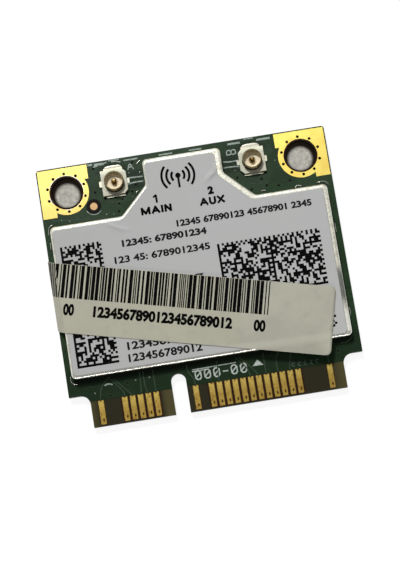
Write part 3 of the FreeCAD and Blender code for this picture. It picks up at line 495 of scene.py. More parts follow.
contactLook = {
    "gold": (0.42, 0.270, 0.054), "bright": (0.545, 0.385, 0.096), "blotch": (0.27, 0.12, 0.022),
    "upper": (0.74, 0.57, 0.15), "upperY": (-22.8, -21.8),
    "rim": (0.060, 0.012, 0.003), "rimX": (0.225, 0.3), "rimSway": 0.12,
    "worn": (0.030, 0.013, 0.005),
    "wornSpot": (0.04, -23.48), "wornSize": (0.11, 0.21),  # x from the contact's middle, and y
    "nickY": (-21.66, -21.56), "nickX": (0.11, 0.05),
}


def contactGold(name, firstX):
    # plated contacts: reddish rims, a dark rub mark low on each, small nicks at the upper end
    look = contactLook
    material, place = newFinish(name, 0.36, metallic=1.0)
    x, y, _ = axes(place)
    fromMiddle = times(phase(x, firstX - contactPitch / 2, contactPitch), contactPitch)
    rub = grain(place, 7.0, 4.0)
    fine = grain(stretched(place, (14, 3, 1)), 1.0)
    gold = tint(fade(rub, 0.35, 0.7), look["gold"], look["bright"])
    gold = tint(times(fade(y, *look["upperY"]), 0.5), gold, look["upper"])
    gold = tint(times(fade(grain(place, 1.9, 4.0, 0.65), 0.52, 0.70), 0.7), gold, look["blotch"])
    offMiddle = calc("ABSOLUTE", plus(fromMiddle, times(minus(rub, 0.5), look["rimSway"])))
    gold = tint(times(fade(offMiddle, *look["rimX"]), 0.9), gold, look["rim"])
    squares = [calc("POWER", calc("DIVIDE", minus(axis, middle), size), 2.0)
               for axis, middle, size in zip((fromMiddle, y), look["wornSpot"], look["wornSize"])]
    mark = plus(calc("SQRT", plus(*squares)), times(rub, 0.9))
    gold = tint(times(fade(mark, 1.6, 0.9), 0.9), gold, look["worn"])
    nick = times(fade(y, *look["nickY"]), fade(calc("ABSOLUTE", fromMiddle), *look["nickX"]), 0.85)
    gold = tint(nick, gold, look["worn"])
    return dress(material, gold, (fine, 0.30, 0.50), (fine, 0.25, 0.01))


padLook = {
    "left": (0.570, 0.440, 0.124), "leftPale": (0.600, 0.505, 0.152),
    "right": (0.67, 0.50, 0.108), "rightPale": (0.69, 0.57, 0.138), "sides": (-8, 8),
    "warm": (0.55, 0.385, 0.110), "warmY": (1.2, -2.2),
    "warmth": (0.65, 0.1),  # share of the warm tone on the left pad and on the right one
    "rimWear": (0.60, 0.60, 0.58), "rimReach": (1.90, 1.66), "rimSide": (0.5, -0.5),
    "inside": (0.030, 0.012, 0.006), "insideReach": (1.64, 1.61),
}


def padGold():
    # ground pads: pale gold, the left one worn to silver in patches round the screw hole
    look = padLook
    material, place = newFinish("pad_gold", 0.42, metallic=1.0)
    x, y, _ = axes(place)
    fine = grain(place, 16.0)
    share = fade(grain(place, 0.7), *evenly)
    left, right = (tint(share, look[side], look[side + "Pale"]) for side in ("left", "right"))
    gold = tint(fade(x, *look["sides"]), left, right)
    warm = times(fade(y, *look["warmY"]), slope(x, *look["sides"], *look["warmth"]))
    gold = tint(warm, gold, look["warm"])
    fromHole = fromPair(x, y, (holeX, 0))
    wear = times(fade(fromHole, *look["rimReach"]), fade(grain(place, 1.4), 0.46, 0.60),
                 fade(x, *look["rimSide"]))
    gold = tint(wear, gold, look["rimWear"])
    gold = tint(fade(fromHole, *look["insideReach"]), gold, look["inside"])
    return dress(material, gold, (fine, 0.36, 0.50), (fine, 0.12, 0.01))


tinLook = {
    "tin": (0.92, 0.91, 0.77), "dull": (0.60, 0.58, 0.47), "stain": (0.20, 0.15, 0.08),
    "rightX": (13.3, 13.5), "rightDark": (0.19, 0.20, 0.17), "rightDarkY": -14.0, "rightDarkHalf": (3.7, 2.2),
    "bright": (0.97, 0.96, 0.86), "frontY": (-18.5, -18.7), "cornerY": (-16.0, -17.0),
    "wall": (0.50, 0.50, 0.45), "wallUp": (0.70, 0.40),  # upward share of the normal
    "metal": 0.4, "mirror": 0.55,  # metallic share of level faces, and what the walls have beyond it
}


def tinPlate():
    # tinned sheet, cloudy, with brown stains along the bends; its walls mirror what lies before them and
    # are painted darker as shade; the front margin, and the right one towards the front, are a painted
    # highlight;
    # the right margin is dull and darker in the middle
    look = tinLook
    material, place = newFinish("tin_plate", 0.3, metallic=look["metal"])
    x, y, _ = axes(place)
    cloud = grain(place, 1.6, 5.0)
    fine = grain(place, 6.0, 5.0, 0.65)
    tin = tint(fade(cloud, 0.46, 0.66), look["tin"], look["dull"])
    tin = tint(times(fade(fine, 0.58, 0.70), 0.75), tin, look["stain"])
    rightSide = fade(x, *look["rightX"])
    tin = tint(times(rightSide, fade(fine, 0.48, 0.64)), tin, look["dull"])
    # the right margin is darker in its middle
    fromPatch = plus(gapFrom(y, look["rightDarkY"]), times(fine, 2.4))
    tin = tint(times(rightSide, fade(fromPatch, *look["rightDarkHalf"])), tin, look["rightDark"])
    front = fade(y, *look["frontY"])
    # painted highlight: the front margin, and the right margin towards the front, are painted bright
    paintedBright = most(front, times(rightSide, fade(y, *look["cornerY"])))
    tin = tint(times(paintedBright, fade(fine, 0.68, 0.58)), tin, look["bright"])
    # painted shade: steep faces are painted a darker tone; they also mirror more (the metallic below)
    steep = fade(facing(material.node_tree)[2], *look["wallUp"])
    tin = tint(steep, tin, look["wall"])
    metal = plus(times(most(steep, times(front, 0.6)), look["mirror"]), look["metal"])
    rough = minus(slope(cloud, *grainRange, 0.22, 0.36), times(front, 0.10))
    height = times(fine, minus(1.0, times(front, 0.85)))
    return dress(material, tin, rough, (height, 0.4, 0.03), metal)


filmLook = {
    "film": (0.380, 0.384, 0.374), "pale": (0.456, 0.459, 0.448), "paleFrom": (-4.0, 15.0),
    "shade": (0.405, 0.405, 0.412), "fleck": (0.50, 0.50, 0.495),
}


def labelFilm():
    # pale grey film with a faint violet cast and soft clouding; painted light makes it a little paler
    # towards the front right
    look = filmLook
    material, place = newFinish("label_film", 0.5)
    x, y, _ = axes(place)
    fine = grain(place, 22.0, 2.0)
    # painted light: paler towards the front right
    film = tint(slope(times(minus(x, y), 0.5), *look["paleFrom"]), look["film"], look["pale"])
    film = tint(times(fade(grain(place, 0.22), *evenly), 0.4), film, look["shade"])
    film = tint(times(fade(fine, 0.55, 0.8), 0.25), film, look["fleck"])
    return dress(material, film, (fine, 0.44, 0.58), (fine, 0.06, 0.01))


paperLook = {
    "paper": (0.420, 0.414, 0.332), "shade": (0.370, 0.365, 0.294), "smudge": (0.325, 0.320, 0.262),
    "warm": (0.400, 0.388, 0.290), "warmLean": 0.25, "warmX": (7.6, 7.0),
    "ridgeHighlight": (0.50, 0.495, 0.405), "ridgeLean": 0.03, "ridgeY": -18.55, "ridgeHalf": (0.65, 0.1),
    "fleck": (0.46, 0.455, 0.38),
}


def stickerPaper():
    # cream coated paper with fibres and smudges: the half nearer the fold has yellowed, and the ridge
    # over the lid's front edge is painted pale as a highlight
    look = paperLook
    material, place = newFinish("sticker_paper", 0.55)
    x, y, _ = axes(place)
    fibre = grain(stretched(place, (3, 9, 9)), 1.6, 4.0)
    paper = tint(fade(grain(place, 0.3, 4.0), *evenly), look["paper"], look["shade"])
    along = minus(x, times(y, look["warmLean"]))
    paper = tint(times(fade(along, *look["warmX"]), 0.6), paper, look["warm"])
    paper = tint(times(fade(grain(place, 0.75, 4.0, 0.6), 0.52, 0.72), 0.5), paper, look["smudge"])
    fromRidge = gapFrom(plus(y, times(x, look["ridgeLean"])), look["ridgeY"])
    paper = tint(times(fade(fromRidge, *look["ridgeHalf"]), 0.5), paper, look["ridgeHighlight"])
    paper = tint(times(fade(fibre, 0.55, 0.8), 0.3), paper, look["fleck"])
    return dress(material, paper, (fibre, 0.48, 0.62), (fibre, 0.12, 0.012))


portLook = {  # distances from a port's axis, heights from the top of its moulding
    "base": (0.64, 0.63, 0.49), "baseShade": (0.52, 0.51, 0.40), "ledge": (0.88, 0.88, 0.68),
    "ledgeY": (0.75, 1.15), "well": (0.84, 0.73, 0.52), "wellRear": (0.98, 0.88, 0.62),
    "wellY": (0.05, 0.35), "wellReach": (0.95, 0.85), "seat": (0.40, 0.27, 0.11), "seatReach": (0.46, 0.30),
    "plate": (0.54, 0.52, 0.41), "plateShade": (0.42, 0.39, 0.29), "lip": (0.105, 0.087, 0.045),
    "lipReach": (1.06, 1.02), "flank": (0.085, 0.048, 0.009), "inner": (0.88, 0.78, 0.55),
    "innerTop": (0.050, 0.030, 0.008), "innerZ": (0.42, 0.68), "innerReach": (0.92, 0.89),
    "pin": (0.17, 0.095, 0.017), "pinShade": (0.10, 0.055, 0.010), "tipHighlight": (0.80, 0.64, 0.36),
    "tipBack": 0.14, "tipReach": (0.13, 0.07), "tail": (0.50, 0.49, 0.42), "tailReach": (0.7, 0.9),
}


def portMoulding():
    # ivory moulding, warmer inside the ring; the rear of the ring's floor is painted paler as light against
    # the ring's shadow, and the foot of the pin is painted brown as its shade
    look = portLook
    material, place = newFinish("port_moulding", 0.45)
    x, y, _ = axes(place)
    fine = grain(place, 8.0, 4.0)
    ledge, well = (fade(y, *(np.array(look[key]) + portY)) for key in ("ledgeY", "wellY"))
    base = tint(fade(fine, *evenly), look["base"], look["baseShade"])
    base = tint(ledge, base, look["ledge"])
    fromAxis = fromPair(x, y, (portX, portY))
    # painted light: the well is paler towards its rear, where the ring's shadow falls
    base = tint(fade(fromAxis, *look["wellReach"]), base, tint(well, look["well"], look["wellRear"]))
    # painted shade: brown round the foot of the pin
    base = tint(fade(fromAxis, *look["seatReach"]), base, look["seat"])
    return dress(material, base, (fine, 0.38, 0.52), (fine, 0.2, 0.012))


def portPlate():
    # stamped plate of the ring and its feet: pale feet; the ring's lip is painted dark as a reflection, the
    # flanks that face the front are painted darkest as shade, and the inner wall is painted pale at its
    # foot and dark at its top, as light and shade
    look = portLook
    material, place = newFinish("port_plate", 0.38, metallic=1.0)
    x, y, z = axes(place)
    fine = grain(place, 6.0, 4.0)
    plate = tint(fade(fine, *evenly), look["plate"], look["plateShade"])
    fromAxis = fromPair(x, y, (portX, portY))
    # painted reflection: the lip of the ring is painted dark
    plate = tint(fade(fromAxis, *look["lipReach"]), plate, look["lip"])
    _, toRear, upward = facing(material.node_tree)
    steep = fade(upward, 0.7, 0.4)
    # painted shade: steep faces that face the front are painted darkest
    plate = tint(times(steep, fade(toRear, 0.25, -0.2)), plate, look["flank"])
    # painted light and shade: the inner wall is pale at its foot and dark at its top
    wall = tint(fade(z, *(np.array(look["innerZ"]) + portTop)), look["inner"], look["innerTop"])
    plate = tint(times(steep, fade(fromAxis, *look["innerReach"])), plate, wall)
    return dress(material, plate, (fine, 0.30, 0.46), (fine, 0.25, 0.01))


def portPin():
    # gold pin with a painted highlight at the rear of its tip, its flat tail tinned
    look = portLook
    material, place = newFinish("port_pin", 0.3, metallic=1.0)
    x, y, _ = axes(place)
    fine = grain(place, 7.0, 4.0)
    gold = tint(fade(fine, *evenly), look["pin"], look["pinShade"])
    fromTip = fromPair(x, y, (portX, portY + look["tipBack"]))
    gold = tint(fade(fromTip, *look["tipReach"]), gold, look["tipHighlight"])
    gold = tint(fade(fromPair(x, y, (portX, portY)), *look["tailReach"]), gold, look["tail"])
    return dress(material, gold, (fine, 0.24, 0.38), (fine, 0.2, 0.01))


def plainGrain(name, first, second, roughness, scale, metallic=0.0, depth=0.01, specular=0.3):
    # two tones of one finish, spread by a fine grain that also roughens the surface
    material, place = newFinish(name, roughness, metallic, specular)
    fine = grain(place, scale, 4.0)
    colour = tint(fade(fine, *evenly), first, second)
    return dress(material, colour, (fine, roughness * 0.8, roughness * 1.2), (fine, 0.25, depth))


plainLook = {  # name, two tones, roughness, scale of the grain, then what differs from the usual
    "ink": ("print_ink", (0.001,) * 3, (0.004,) * 3, 0.6, 6.0, {"depth": 0.003, "specular": 0.02}),
    "greyInk": ("grey_ink", (0.006, 0.006, 0.007), (0.018,) * 3, 0.6, 6.0,
                {"depth": 0.003, "specular": 0.04}),
    "silk": ("silk_print", (0.50, 0.54, 0.51), (0.30, 0.35, 0.31), 0.55, 5.0, {}),
    "faintSilk": ("faint_silk", (0.095, 0.125, 0.10), (0.02, 0.035, 0.025), 0.5, 4.0, {}),
    "trace": ("masked_trace", (0.034, 0.060, 0.032), (0.018, 0.036, 0.018), 0.4, 3.0, {"specular": 0.2}),
    "lineTin": ("line_tin", (0.34, 0.40, 0.36), (0.20, 0.25, 0.22), 0.38, 3.0, {}),
    "paleSolder": ("pale_solder", (0.66, 0.65, 0.54), (0.54, 0.53, 0.43), 0.4, 6.0,
                   {"metallic": 0.3, "depth": 0.02}),
    "solder": ("bright_solder", (0.72, 0.72, 0.66), (0.50, 0.50, 0.45), 0.25, 6.0,
               {"metallic": 1.0, "depth": 0.02}),
    "dot": ("pale_dot", (0.30, 0.34, 0.29), (0.14, 0.18, 0.14), 0.5, 4.0, {}),
    "pit": ("via_pit", (0.004, 0.004, 0.003), (0.010, 0.008, 0.005), 0.7, 9.0, {"specular": 0.05}),
    "boreEdge": ("bore_edge", (0.014, 0.006, 0.003), (0.030, 0.012, 0.006), 0.6, 7.0, {"specular": 0.08}),
    # painted shade for the dark crescent at each ring's foot
    "ringShade": ("painted_ring_shade", (0.030, 0.018, 0.006), (0.055, 0.034, 0.012), 0.5, 7.0, {"specular": 0.1}),
    "wornRim": ("worn_rim", (0.62, 0.61, 0.58), (0.42, 0.38, 0.28), 0.35, 4.0, {"metallic": 1.0}),
    "clearing": ("fiducial_clearing", (0.005, 0.005, 0.004), (0.010, 0.009, 0.007), 0.6, 7.0,
                 {"specular": 0.08}),
    "copper": ("fiducial_copper", (0.37, 0.245, 0.125), (0.33, 0.20, 0.10), 0.4, 7.0, {"metallic": 1.0}),
    "mould": ("mould_compound", (0.030, 0.030, 0.032), (0.045, 0.045, 0.047), 0.6, 9.0, {}),
    "land": ("solder_land", (0.74, 0.74, 0.74), (0.60, 0.60, 0.58), 0.35, 6.0, {"metallic": 1.0}),
    "ceramic": ("fired_ceramic", (0.66, 0.61, 0.52), (0.56, 0.51, 0.43), 0.55, 8.0, {}),
    "ferrite": ("dark_ferrite", (0.11, 0.11, 0.115), (0.16, 0.16, 0.165), 0.6, 9.0, {}),
    "capCeramic": ("capacitor_ceramic", (0.40, 0.27, 0.17), (0.31, 0.20, 0.12), 0.5, 8.0, {}),
    "glaze": ("resistor_glaze", (0.025, 0.025, 0.03), (0.045, 0.045, 0.05), 0.25, 7.0, {}),
    "endTin": ("terminal_tin", (0.82, 0.82, 0.81), (0.68, 0.68, 0.66), 0.3, 7.0, {"metallic": 1.0}),
}
finishes = {key: plainGrain(*usual, **other) for key, (*usual, other) in plainLook.items()}
finishes.update({
    "mask": solderMask(),
    "contactTop": contactGold("contact_gold_top", -11.8),
    "contactUnder": contactGold("contact_gold_under", -11.4),
    "pad": padGold(),
    "tin": tinPlate(),
    "film": labelFilm(),
    "paper": stickerPaper(),
    "moulding": portMoulding(),
    "portPlate": portPlate(),
    "portPin": portPin(),
})

nodeFinish = {  # finish, and the CAD nodes that take it
    "mask": "circuit_board",
    "contactTop": "top_edge_contacts",
    "contactUnder": "bottom_edge_contacts",
    "pad": "left_ground_pad_top right_ground_pad_top left_ground_pad_bottom right_ground_pad_bottom",
    "copper": "fiducial_pad",
    "moulding": "main_antenna_insulator aux_antenna_insulator",
    "portPlate": "main_antenna_shell aux_antenna_shell",
    "portPin": "main_antenna_pin aux_antenna_pin",
    "tin": "shield_frame shield_lid crystal_lid",
    "film": "shield_label",
    "paper": "barcode_sticker",
    "mould": "radio_chip memory_chip main_front_end aux_front_end",
    "land": "radio_chip_lands memory_chip_lands main_front_end_lands aux_front_end_lands",
    "ceramic": "crystal_base antenna_filters",
    "ferrite": "supply_inductor",
    "capCeramic": "capacitor_bodies",
    "glaze": "resistor_bodies",
    "endTin": "capacitor_terminals resistor_terminals inductor_terminals filter_terminals",
}
finished = [(name, finishes[key]) for key, names in nodeFinish.items() for name in names.split()]
for name, material in finished:
    nodes[name].data.materials.clear()
    nodes[name].data.materials.append(material)
print("finishes set on", len(finished), "nodes")


# label film on the lid

labelCut = {
    "shoulder": -3.96, "slopeFoot": (-6.90, 6.46), "slopeHead": -0.94, "neck": (-3.82, 3.38),
    "corner": 0.4, "cornerPoints": 9,
    "reach": (0.17, 0.10),  # beyond the CAD label at the right and in front
    "middle": (-0.2, -8.0), "rings": 44, "spacing": 0.22, "flat": 0.993,
    "ripple": (0.006, 0.55, 0.8, 0.4),  # height, waves in X, their sway, waves in Y
    "creases": (  # x, y, heading in degrees, half length, half width, height
        (2.75, -0.85, 35, 0.65, 0.17, 0.130),
        (3.25, -0.30, 80, 0.45, 0.15, 0.080),
        (-7.75, -4.50, -28, 0.75, 0.18, 0.055),
        (-6.90, -4.95, -10, 0.80, 0.22, 0.025),
        (-10.6, -4.60, 70, 0.60, 0.35, 0.020),
        (9.5, -4.30, 5, 1.60, 0.40, 0.015),
    ),
}


def labelRise(x, y):
    # creases are bell curves across their line and along it; a slow ripple lies under them
    swell, wavesX, sway, wavesY = labelCut["ripple"]
    rise = swell * (1 + np.sin(x * wavesX + sway * np.sin(y * wavesY)))
    for cx, cy, heading, length, width, height in labelCut["creases"]:
        turn = np.radians(heading)
        along = (x - cx) * np.cos(turn) + (y - cy) * np.sin(turn)
        aside = (y - cy) * np.cos(turn) - (x - cx) * np.sin(turn)
        rise = rise + height * np.exp(-(along / length) ** 2 - (aside / width) ** 2)
    return rise


def labelSurface(x, y, offset):
    # z is the label's top plus its rise at (x, y) plus the offset
    return np.stack([x, y, labelTop + labelRise(x, y) + offset], -1)


def labelOutline():
    # corners rounded by a parabola between points at the corner radius on both sides
    cut = labelCut
    left, top, shoulder, head = labelLow[0], labelHigh[1], cut["shoulder"], cut["slopeHead"]
    right, front = labelHigh[0] + cut["reach"][0], labelLow[1] - cut["reach"][1]
    footLeft, footRight = cut["slopeFoot"]
    neckLeft, neckRight = cut["neck"]
    corners = np.array([
        (left, front), (right, front), (right, shoulder), (footRight, shoulder), (neckRight, head),
        (neckRight, top), (neckLeft, top), (neckLeft, head), (footLeft, shoulder), (left, shoulder),
    ])
    before, after = (np.roll(corners, step, 0) - corners for step in (1, -1))
    before /= np.linalg.norm(before, axis=1, keepdims=True)
    after /= np.linalg.norm(after, axis=1, keepdims=True)
    t = np.linspace(0, 1, cut["cornerPoints"])[None, :, None]
    first = (corners + before * cut["corner"])[:, None]
    last = (corners + after * cut["corner"])[:, None]
    line = ((1 - t) ** 2 * first + 2 * t * (1 - t) * corners[:, None] + t ** 2 * last).reshape(-1, 2)
    return spread(np.concatenate([line, line[:1]]), cut["spacing"], True)


def labelSheet():
    # points run straight from the middle out to the outline, on rings of equal share and a narrow last one
    rim = labelOutline()
    middle = np.array(labelCut["middle"])
    rings, count = labelCut["rings"], len(rim)
    share = np.append(np.linspace(0, labelCut["flat"], rings)[1:], 1.0)[:, None, None]
    flat = np.concatenate([(middle + share * (rim - middle)).reshape(-1, 2), middle[None]])
    upper = labelSurface(*flat.T, 0.0)
    lower = labelSurface(*flat.T, labelLow[2] - labelTop)
    quads = quadGrid(rings, count, True)
    col = np.arange(count)
    ahead = (col + 1) % count
    fan = np.stack([np.full(count, rings * count), col, ahead], -1)
    outer = (rings - 1) * count
    below = len(flat)
    wall = np.stack([outer + col + below, outer + ahead + below, outer + ahead, outer + col], -1)
    faces = [quads[:, ::-1], fan, quads + below, fan[:, ::-1] + below, wall]
    return np.concatenate([upper, lower]), faces


addPiece("label_sheet", labelSheet(), finishes["film"], True, ("shield_label",))
print("label laid")


# print on the label

labelPrint = {
    "codes": (  # left, top, columns, rows, cell, seed, dark share
        (-13.48, -5.75, 18, 18, 0.232, 11, 0.52),
        (2.17, -7.93, 44, 24, 0.2365, 23, 0.58),
        (-13.48, -13.92, 18, 18, 0.233, 37, 0.51),
    ),
    "loneCells": ((12.30, -16.60), (12.53, -17.07), (12.30, -17.54), (12.53, -17.77), (12.30, -18.0)),
    "loneSize": 0.2365,
    "rows": (  # text, left, right, middle height, letter height, weight
        ("12345 67890123 45678901 2345", -1.50, 12.27, -5.20, 0.72, 0.043),
        ("12345: 678901234", -7.24, 1.38, -6.36, 0.74, 0.045),
        ("123 45: 6789012345", -8.23, 1.47, -7.95, 0.74, 0.034),
        ("1234567", -5.60, 0.40, -10.95, 0.80, 0.02),
        ("1234567890", -8.28, -1.60, -16.66, 0.84, 0.032),
        ("123456789012", -8.33, -0.90, -17.88, 0.84, 0.032),
    ),
    "names": (  # text, x, y, height, width, stroke
        ("MAIN", -3.28, -3.46, 0.84, 3.14, 0.235), ("AUX", 2.42, -3.44, 0.84, 2.58, 0.222),
    ),
    "two": ("2", 2.42, -2.38, 0.82, 0.60, 0.072),
    "one": ((-3.42, -2.20), (-3.22, -2.06), (-3.11, -1.99), (-3.11, -2.78)),
    "oneStroke": 0.21, "oneSpacing": 0.05, "codeGrid": (2, 1),
}


def codeRects(left, top, columns, rows, cell, seed, dark):
    # solid left column and bottom row, broken top row and right column, the rest by chance;
    # a wide code has a second solid column in its middle
    filled = np.random.default_rng(seed).random((rows, columns)) < dark
    filled[0, :] = np.arange(columns) % 2 == 0
    filled[:, -1] = np.arange(rows) % 2 == 1
    filled[-1, :] = True
    filled[:, 0] = True
    if columns > 1.5 * rows:
        filled[:, columns // 2] = True
        filled[:, columns // 2 - 1] = np.arange(rows) % 2 == 1
    edge = np.diff(np.pad(filled.astype(int), ((0, 0), (1, 1))), axis=1)
    row, start = np.nonzero(edge == 1)
    stop = np.nonzero(edge == -1)[1]
    return np.stack([left + start * cell, top - (row + 1) * cell, left + stop * cell, top - row * cell], -1)


def inkLine(line, width):
    # a printed line on the label: a strip carried along points (x, y)
    return sweep(labelSurface(*line.T, 0.0), strip(width, inkLift, inkCrown))


def labelInk():
    # codes are tiles for each run of dark cells; names are strokes, and the 2 is a letter of the typeface
    look = labelPrint
    lone = np.array(look["loneCells"])
    parts = [tiles(codeRects(*code), labelSurface, *look["codeGrid"]) for code in look["codes"]]
    parts.append(tiles(np.concatenate([lone, lone + look["loneSize"]], 1), labelSurface))
    for word in look["names"]:
        parts += strokeWord(*word, labelSurface)
    text, x, y, height, width, weight = look["two"]
    parts.append(laid(lettering(text, height, width, weight), x, y, labelSurface))
    parts.append(inkLine(softened(look["one"], look["oneSpacing"], rounds=0), look["oneStroke"]))
    return joined(parts)


def labelRows():
    # each row of digits is scaled to reach from its left to its right end
    parts = []
    for text, left, right, middle, height, weight in labelPrint["rows"]:
        shape = lettering(text, height, right - left, weight)
        parts.append(laid(shape, (left + right) / 2, middle, labelSurface))
    return joined(parts)


mast = {
    "middle": (-0.6, -0.35), "radii": (0.66, 1.16, 1.66), "half": 42, "line": 0.24, "points": 25,
    "dot": 0.28, "dotSides": 24,
    "post": (-0.11, -1.25, 0.11, -0.1), "postGrid": (1, 6),  # left, low, right, high from the middle
}


def mastSign():
    # plain sign for radio: a dot on a post between pairs of arcs
    middle, half, dot = np.array(mast["middle"]), mast["half"], mast["dot"]
    parts = []
    for radius in mast["radii"]:
        for side in (0, 180):
            line = middle + arc(radius, side - half, side + half, mast["points"])
            parts.append(inkLine(line, mast["line"]))
    profile = [(0, -sunk), (dot, -sunk), (dot, inkLift), (0, inkLift)]
    parts.append(turned(profile, labelSurface(*middle[:, None], 0.0), mast["dotSides"]))
    parts.append(tiles([np.tile(middle, 2) + mast["post"]], labelSurface, *mast["postGrid"]))
    return joined(parts)


addPiece("label_print", labelInk(), finishes["ink"])
addPiece("label_sign", mastSign(), finishes["ink"])
addPiece("label_rows", labelRows(), finishes["greyInk"])
print("label printed")


# barcode sticker, folded round the board's edge

stickerCut = {
    "angle": 14.0, "foldX": lidLow[0], "foldY": -10.79, "width": 6.92, "reach": 27.5, "tail": 3.0,
    "thick": 0.1, "corner": 0.5, "bend": 0.14, "overhang": -18.80, "drape": 0.16, "drapeSoft": 0.2,
    "tip": (12.0, -20.8), "tipLift": 0.38, "tipSize": 1.0,
    "wave": (0.012, 0.75, 0.5),  # height, waves in X and in Y
    "settle": (0.2, 1.5),  # where the waves begin beyond the fold, and over what length
    "ends": (40, 20), "step": 0.005,  # spare length of the fold's line above and below, and its step
    "foldShare": 0.25,  # share of the length that has the closer points
    "rows": (9, 22), "columns": (110, 100),  # points at a corner and across, near the fold and beyond
}


def foldLine():
    # the section's middle line: straight runs joined by arcs, walked by length with its heading
    cut = stickerCut
    half, bend, step = cut["thick"] / 2, cut["bend"], cut["step"]
    above, below = cut["ends"]
    inner = np.array([
        (cut["foldX"] + above, labelTop), (cut["foldX"], labelTop), (boardLow[0], boardTop),
        (boardLow[0], 0.0), (boardLow[0] + below, 0.0),
    ])
    run = np.diff(inner, axis=0)
    heading = np.unwrap(np.arctan2(run[:, 1], run[:, 0]))
    out = np.stack([np.sin(heading), -np.cos(heading)], -1)
    bisect = out[:-1] + out[1:]
    mitre = half * 2 * bisect / np.sum(bisect ** 2, 1, keepdims=True)
    shift = np.concatenate([out[:1] * half, mitre, out[-1:] * half])
    corners = inner + shift
    length = np.linalg.norm(np.diff(corners, axis=0), axis=1)
    turn = np.abs(np.diff(heading))
    trim = bend * np.tan(turn / 2)
    straight = length - np.append(trim, 0) - np.append(0, trim)
    steps = np.stack([straight, np.append(bend * turn, 0)], -1).ravel()[:-1]
    knots = np.append(0, np.cumsum(steps))
    walked = np.arange(0, knots[-1], step)
    angle = np.interp(walked, knots, np.repeat(heading, 2))
    x = corners[0, 0] + np.append(0, np.cumsum(np.cos(angle[:-1]) * step))
    z = corners[0, 1] + np.append(0, np.cumsum(np.sin(angle[:-1]) * step))
    return walked, x, z, angle, straight[0] + bend * turn[0] / 2


foldWalk, foldXs, foldZs, foldAngles, foldStart = foldLine()


def stickerRise(x, y):
    # the loose edge droops beyond the lid, its corner curls up, the rest lies in a slow wave
    cut = stickerCut
    soft = cut["drapeSoft"]
    height, wavesX, wavesY = cut["wave"]
    begin, over = cut["settle"]
    beyond = np.maximum(0, cut["overhang"] - y)
    tip = np.exp(-((x - cut["tip"][0]) ** 2 + (y - cut["tip"][1]) ** 2) / cut["tipSize"] ** 2)
    wave = height * (1 + np.sin(wavesX * x + wavesY * y))
    onLid = np.clip((x - cut["foldX"] - begin) / over, 0, 1)
    droop = cut["drape"] * (np.sqrt(beyond ** 2 + soft ** 2) - soft)
    return onLid * (wave - droop + cut["tipLift"] * tip)


def stickerSurface(s, t, offset):
    # strip length s and width t are turned by the strip's angle, then X is bent along the fold line;
    # offset goes outwards from the middle of the paper plus half its thickness
    cut = stickerCut
    turn = np.radians(cut["angle"])
    flatX = s * np.cos(turn) + t * np.sin(turn)
    y = cut["foldY"] - s * np.sin(turn) + t * np.cos(turn)
    walked = foldStart - flatX
    x, z, angle = (np.interp(walked, foldWalk, axis) for axis in (foldXs, foldZs, foldAngles))
    away = offset + cut["thick"] / 2
    rise = np.where(flatX > 0, stickerRise(x, y), 0)
    return np.stack([x + away * np.sin(angle), y, z - away * np.cos(angle) + rise], -1)


def stickerSheet():
    # length s runs evenly from the tail to a far end rounded by a quarter circle at both corners, and
    # width t evenly between the corners and by a sine over them; points are closer near the fold
    cut = stickerCut
    corner, fold = cut["corner"], cut["foldShare"]
    half = cut["width"] / 2
    straight = half - corner
    rounded, across = cut["rows"]
    near, far = cut["columns"]
    over = straight + corner * np.sin(np.linspace(np.pi / 2, 0, rounded))
    t = np.concatenate([-over, np.linspace(-straight, straight, across)[1:-1], over[::-1]])
    inside = np.maximum(0, np.abs(t) - straight)
    end = cut["reach"] - corner + np.sqrt(np.maximum(0, corner ** 2 - inside ** 2))
    drop = np.hypot(lidLow[0] - boardLow[0], labelTop - boardTop)
    start = -(drop + boardTop + cut["tail"]) / np.cos(np.radians(cut["angle"]))
    share = np.concatenate([np.linspace(0, fold, near)[:-1], np.linspace(fold, 1, far)])
    s = start + share[None, :] * (end[:, None] - start)
    t = np.broadcast_to(t[:, None], s.shape)
    return sheetPair(stickerSurface(s, t, 0.0), stickerSurface(s, t, -cut["thick"]))


addPiece("sticker_sheet", stickerSheet(), finishes["paper"], True, ("barcode_sticker",))

stickerPrint = {
    "from": -2.75, "to": 21.3, "low": 0.05, "high": 3.43, "seed": 4, "draws": 200,
    "foldEnd": 1.8, "foldGrid": (2, 60), "flatGrid": (1, 8),
    "bars": (0.112, 0.20, 0.34), "gaps": (0.074, 0.115, 0.20), "shares": ((0.46, 0.72), (0.52, 0.82)),
    "row": -1.10, "height": 1.20, "weight": 0.052,
    "texts": (  # text, middle along the strip, width
        ("00", 1.05, 1.10), ("1234567890123456789012", 10.50, 13.95), ("00", 20.2, 1.18),
    ),
}


def barRects():
    # bars and gaps take turns, each of one of three widths by chance
    look = stickerPrint
    chance = np.random.default_rng(look["seed"]).random((2, look["draws"]))
    picked = [np.searchsorted(share, row) for share, row in zip(look["shares"], chance)]
    widths = np.stack([np.array(look["bars"])[picked[0]], np.array(look["gaps"])[picked[1]]], -1)
    edges = look["from"] + np.append(0, np.cumsum(widths.ravel()))
    left, right = edges[0:-1:2], edges[1::2]
    keep = right <= look["to"]
    low, high = np.full(keep.sum(), look["low"]), np.full(keep.sum(), look["high"])
    return np.stack([left[keep], low, right[keep], high], -1)


def stickerInk():
    # bars are tiles, finer where they go round the fold; digits are scaled to their width
    look = stickerPrint
    bars = barRects()
    nearFold = bars[:, 0] < look["foldEnd"]
    parts = [
        tiles(bars[nearFold], stickerSurface, *look["foldGrid"]),
        tiles(bars[~nearFold], stickerSurface, *look["flatGrid"]),
    ]
    for text, middle, width in look["texts"]:
        shape = lettering(text, look["height"], width, look["weight"])
        parts.append(laid(shape, middle, look["row"], stickerSurface))
    return joined(parts)


addPiece("sticker_print", stickerInk(), finishes["ink"])
print("sticker folded and printed")


# board details

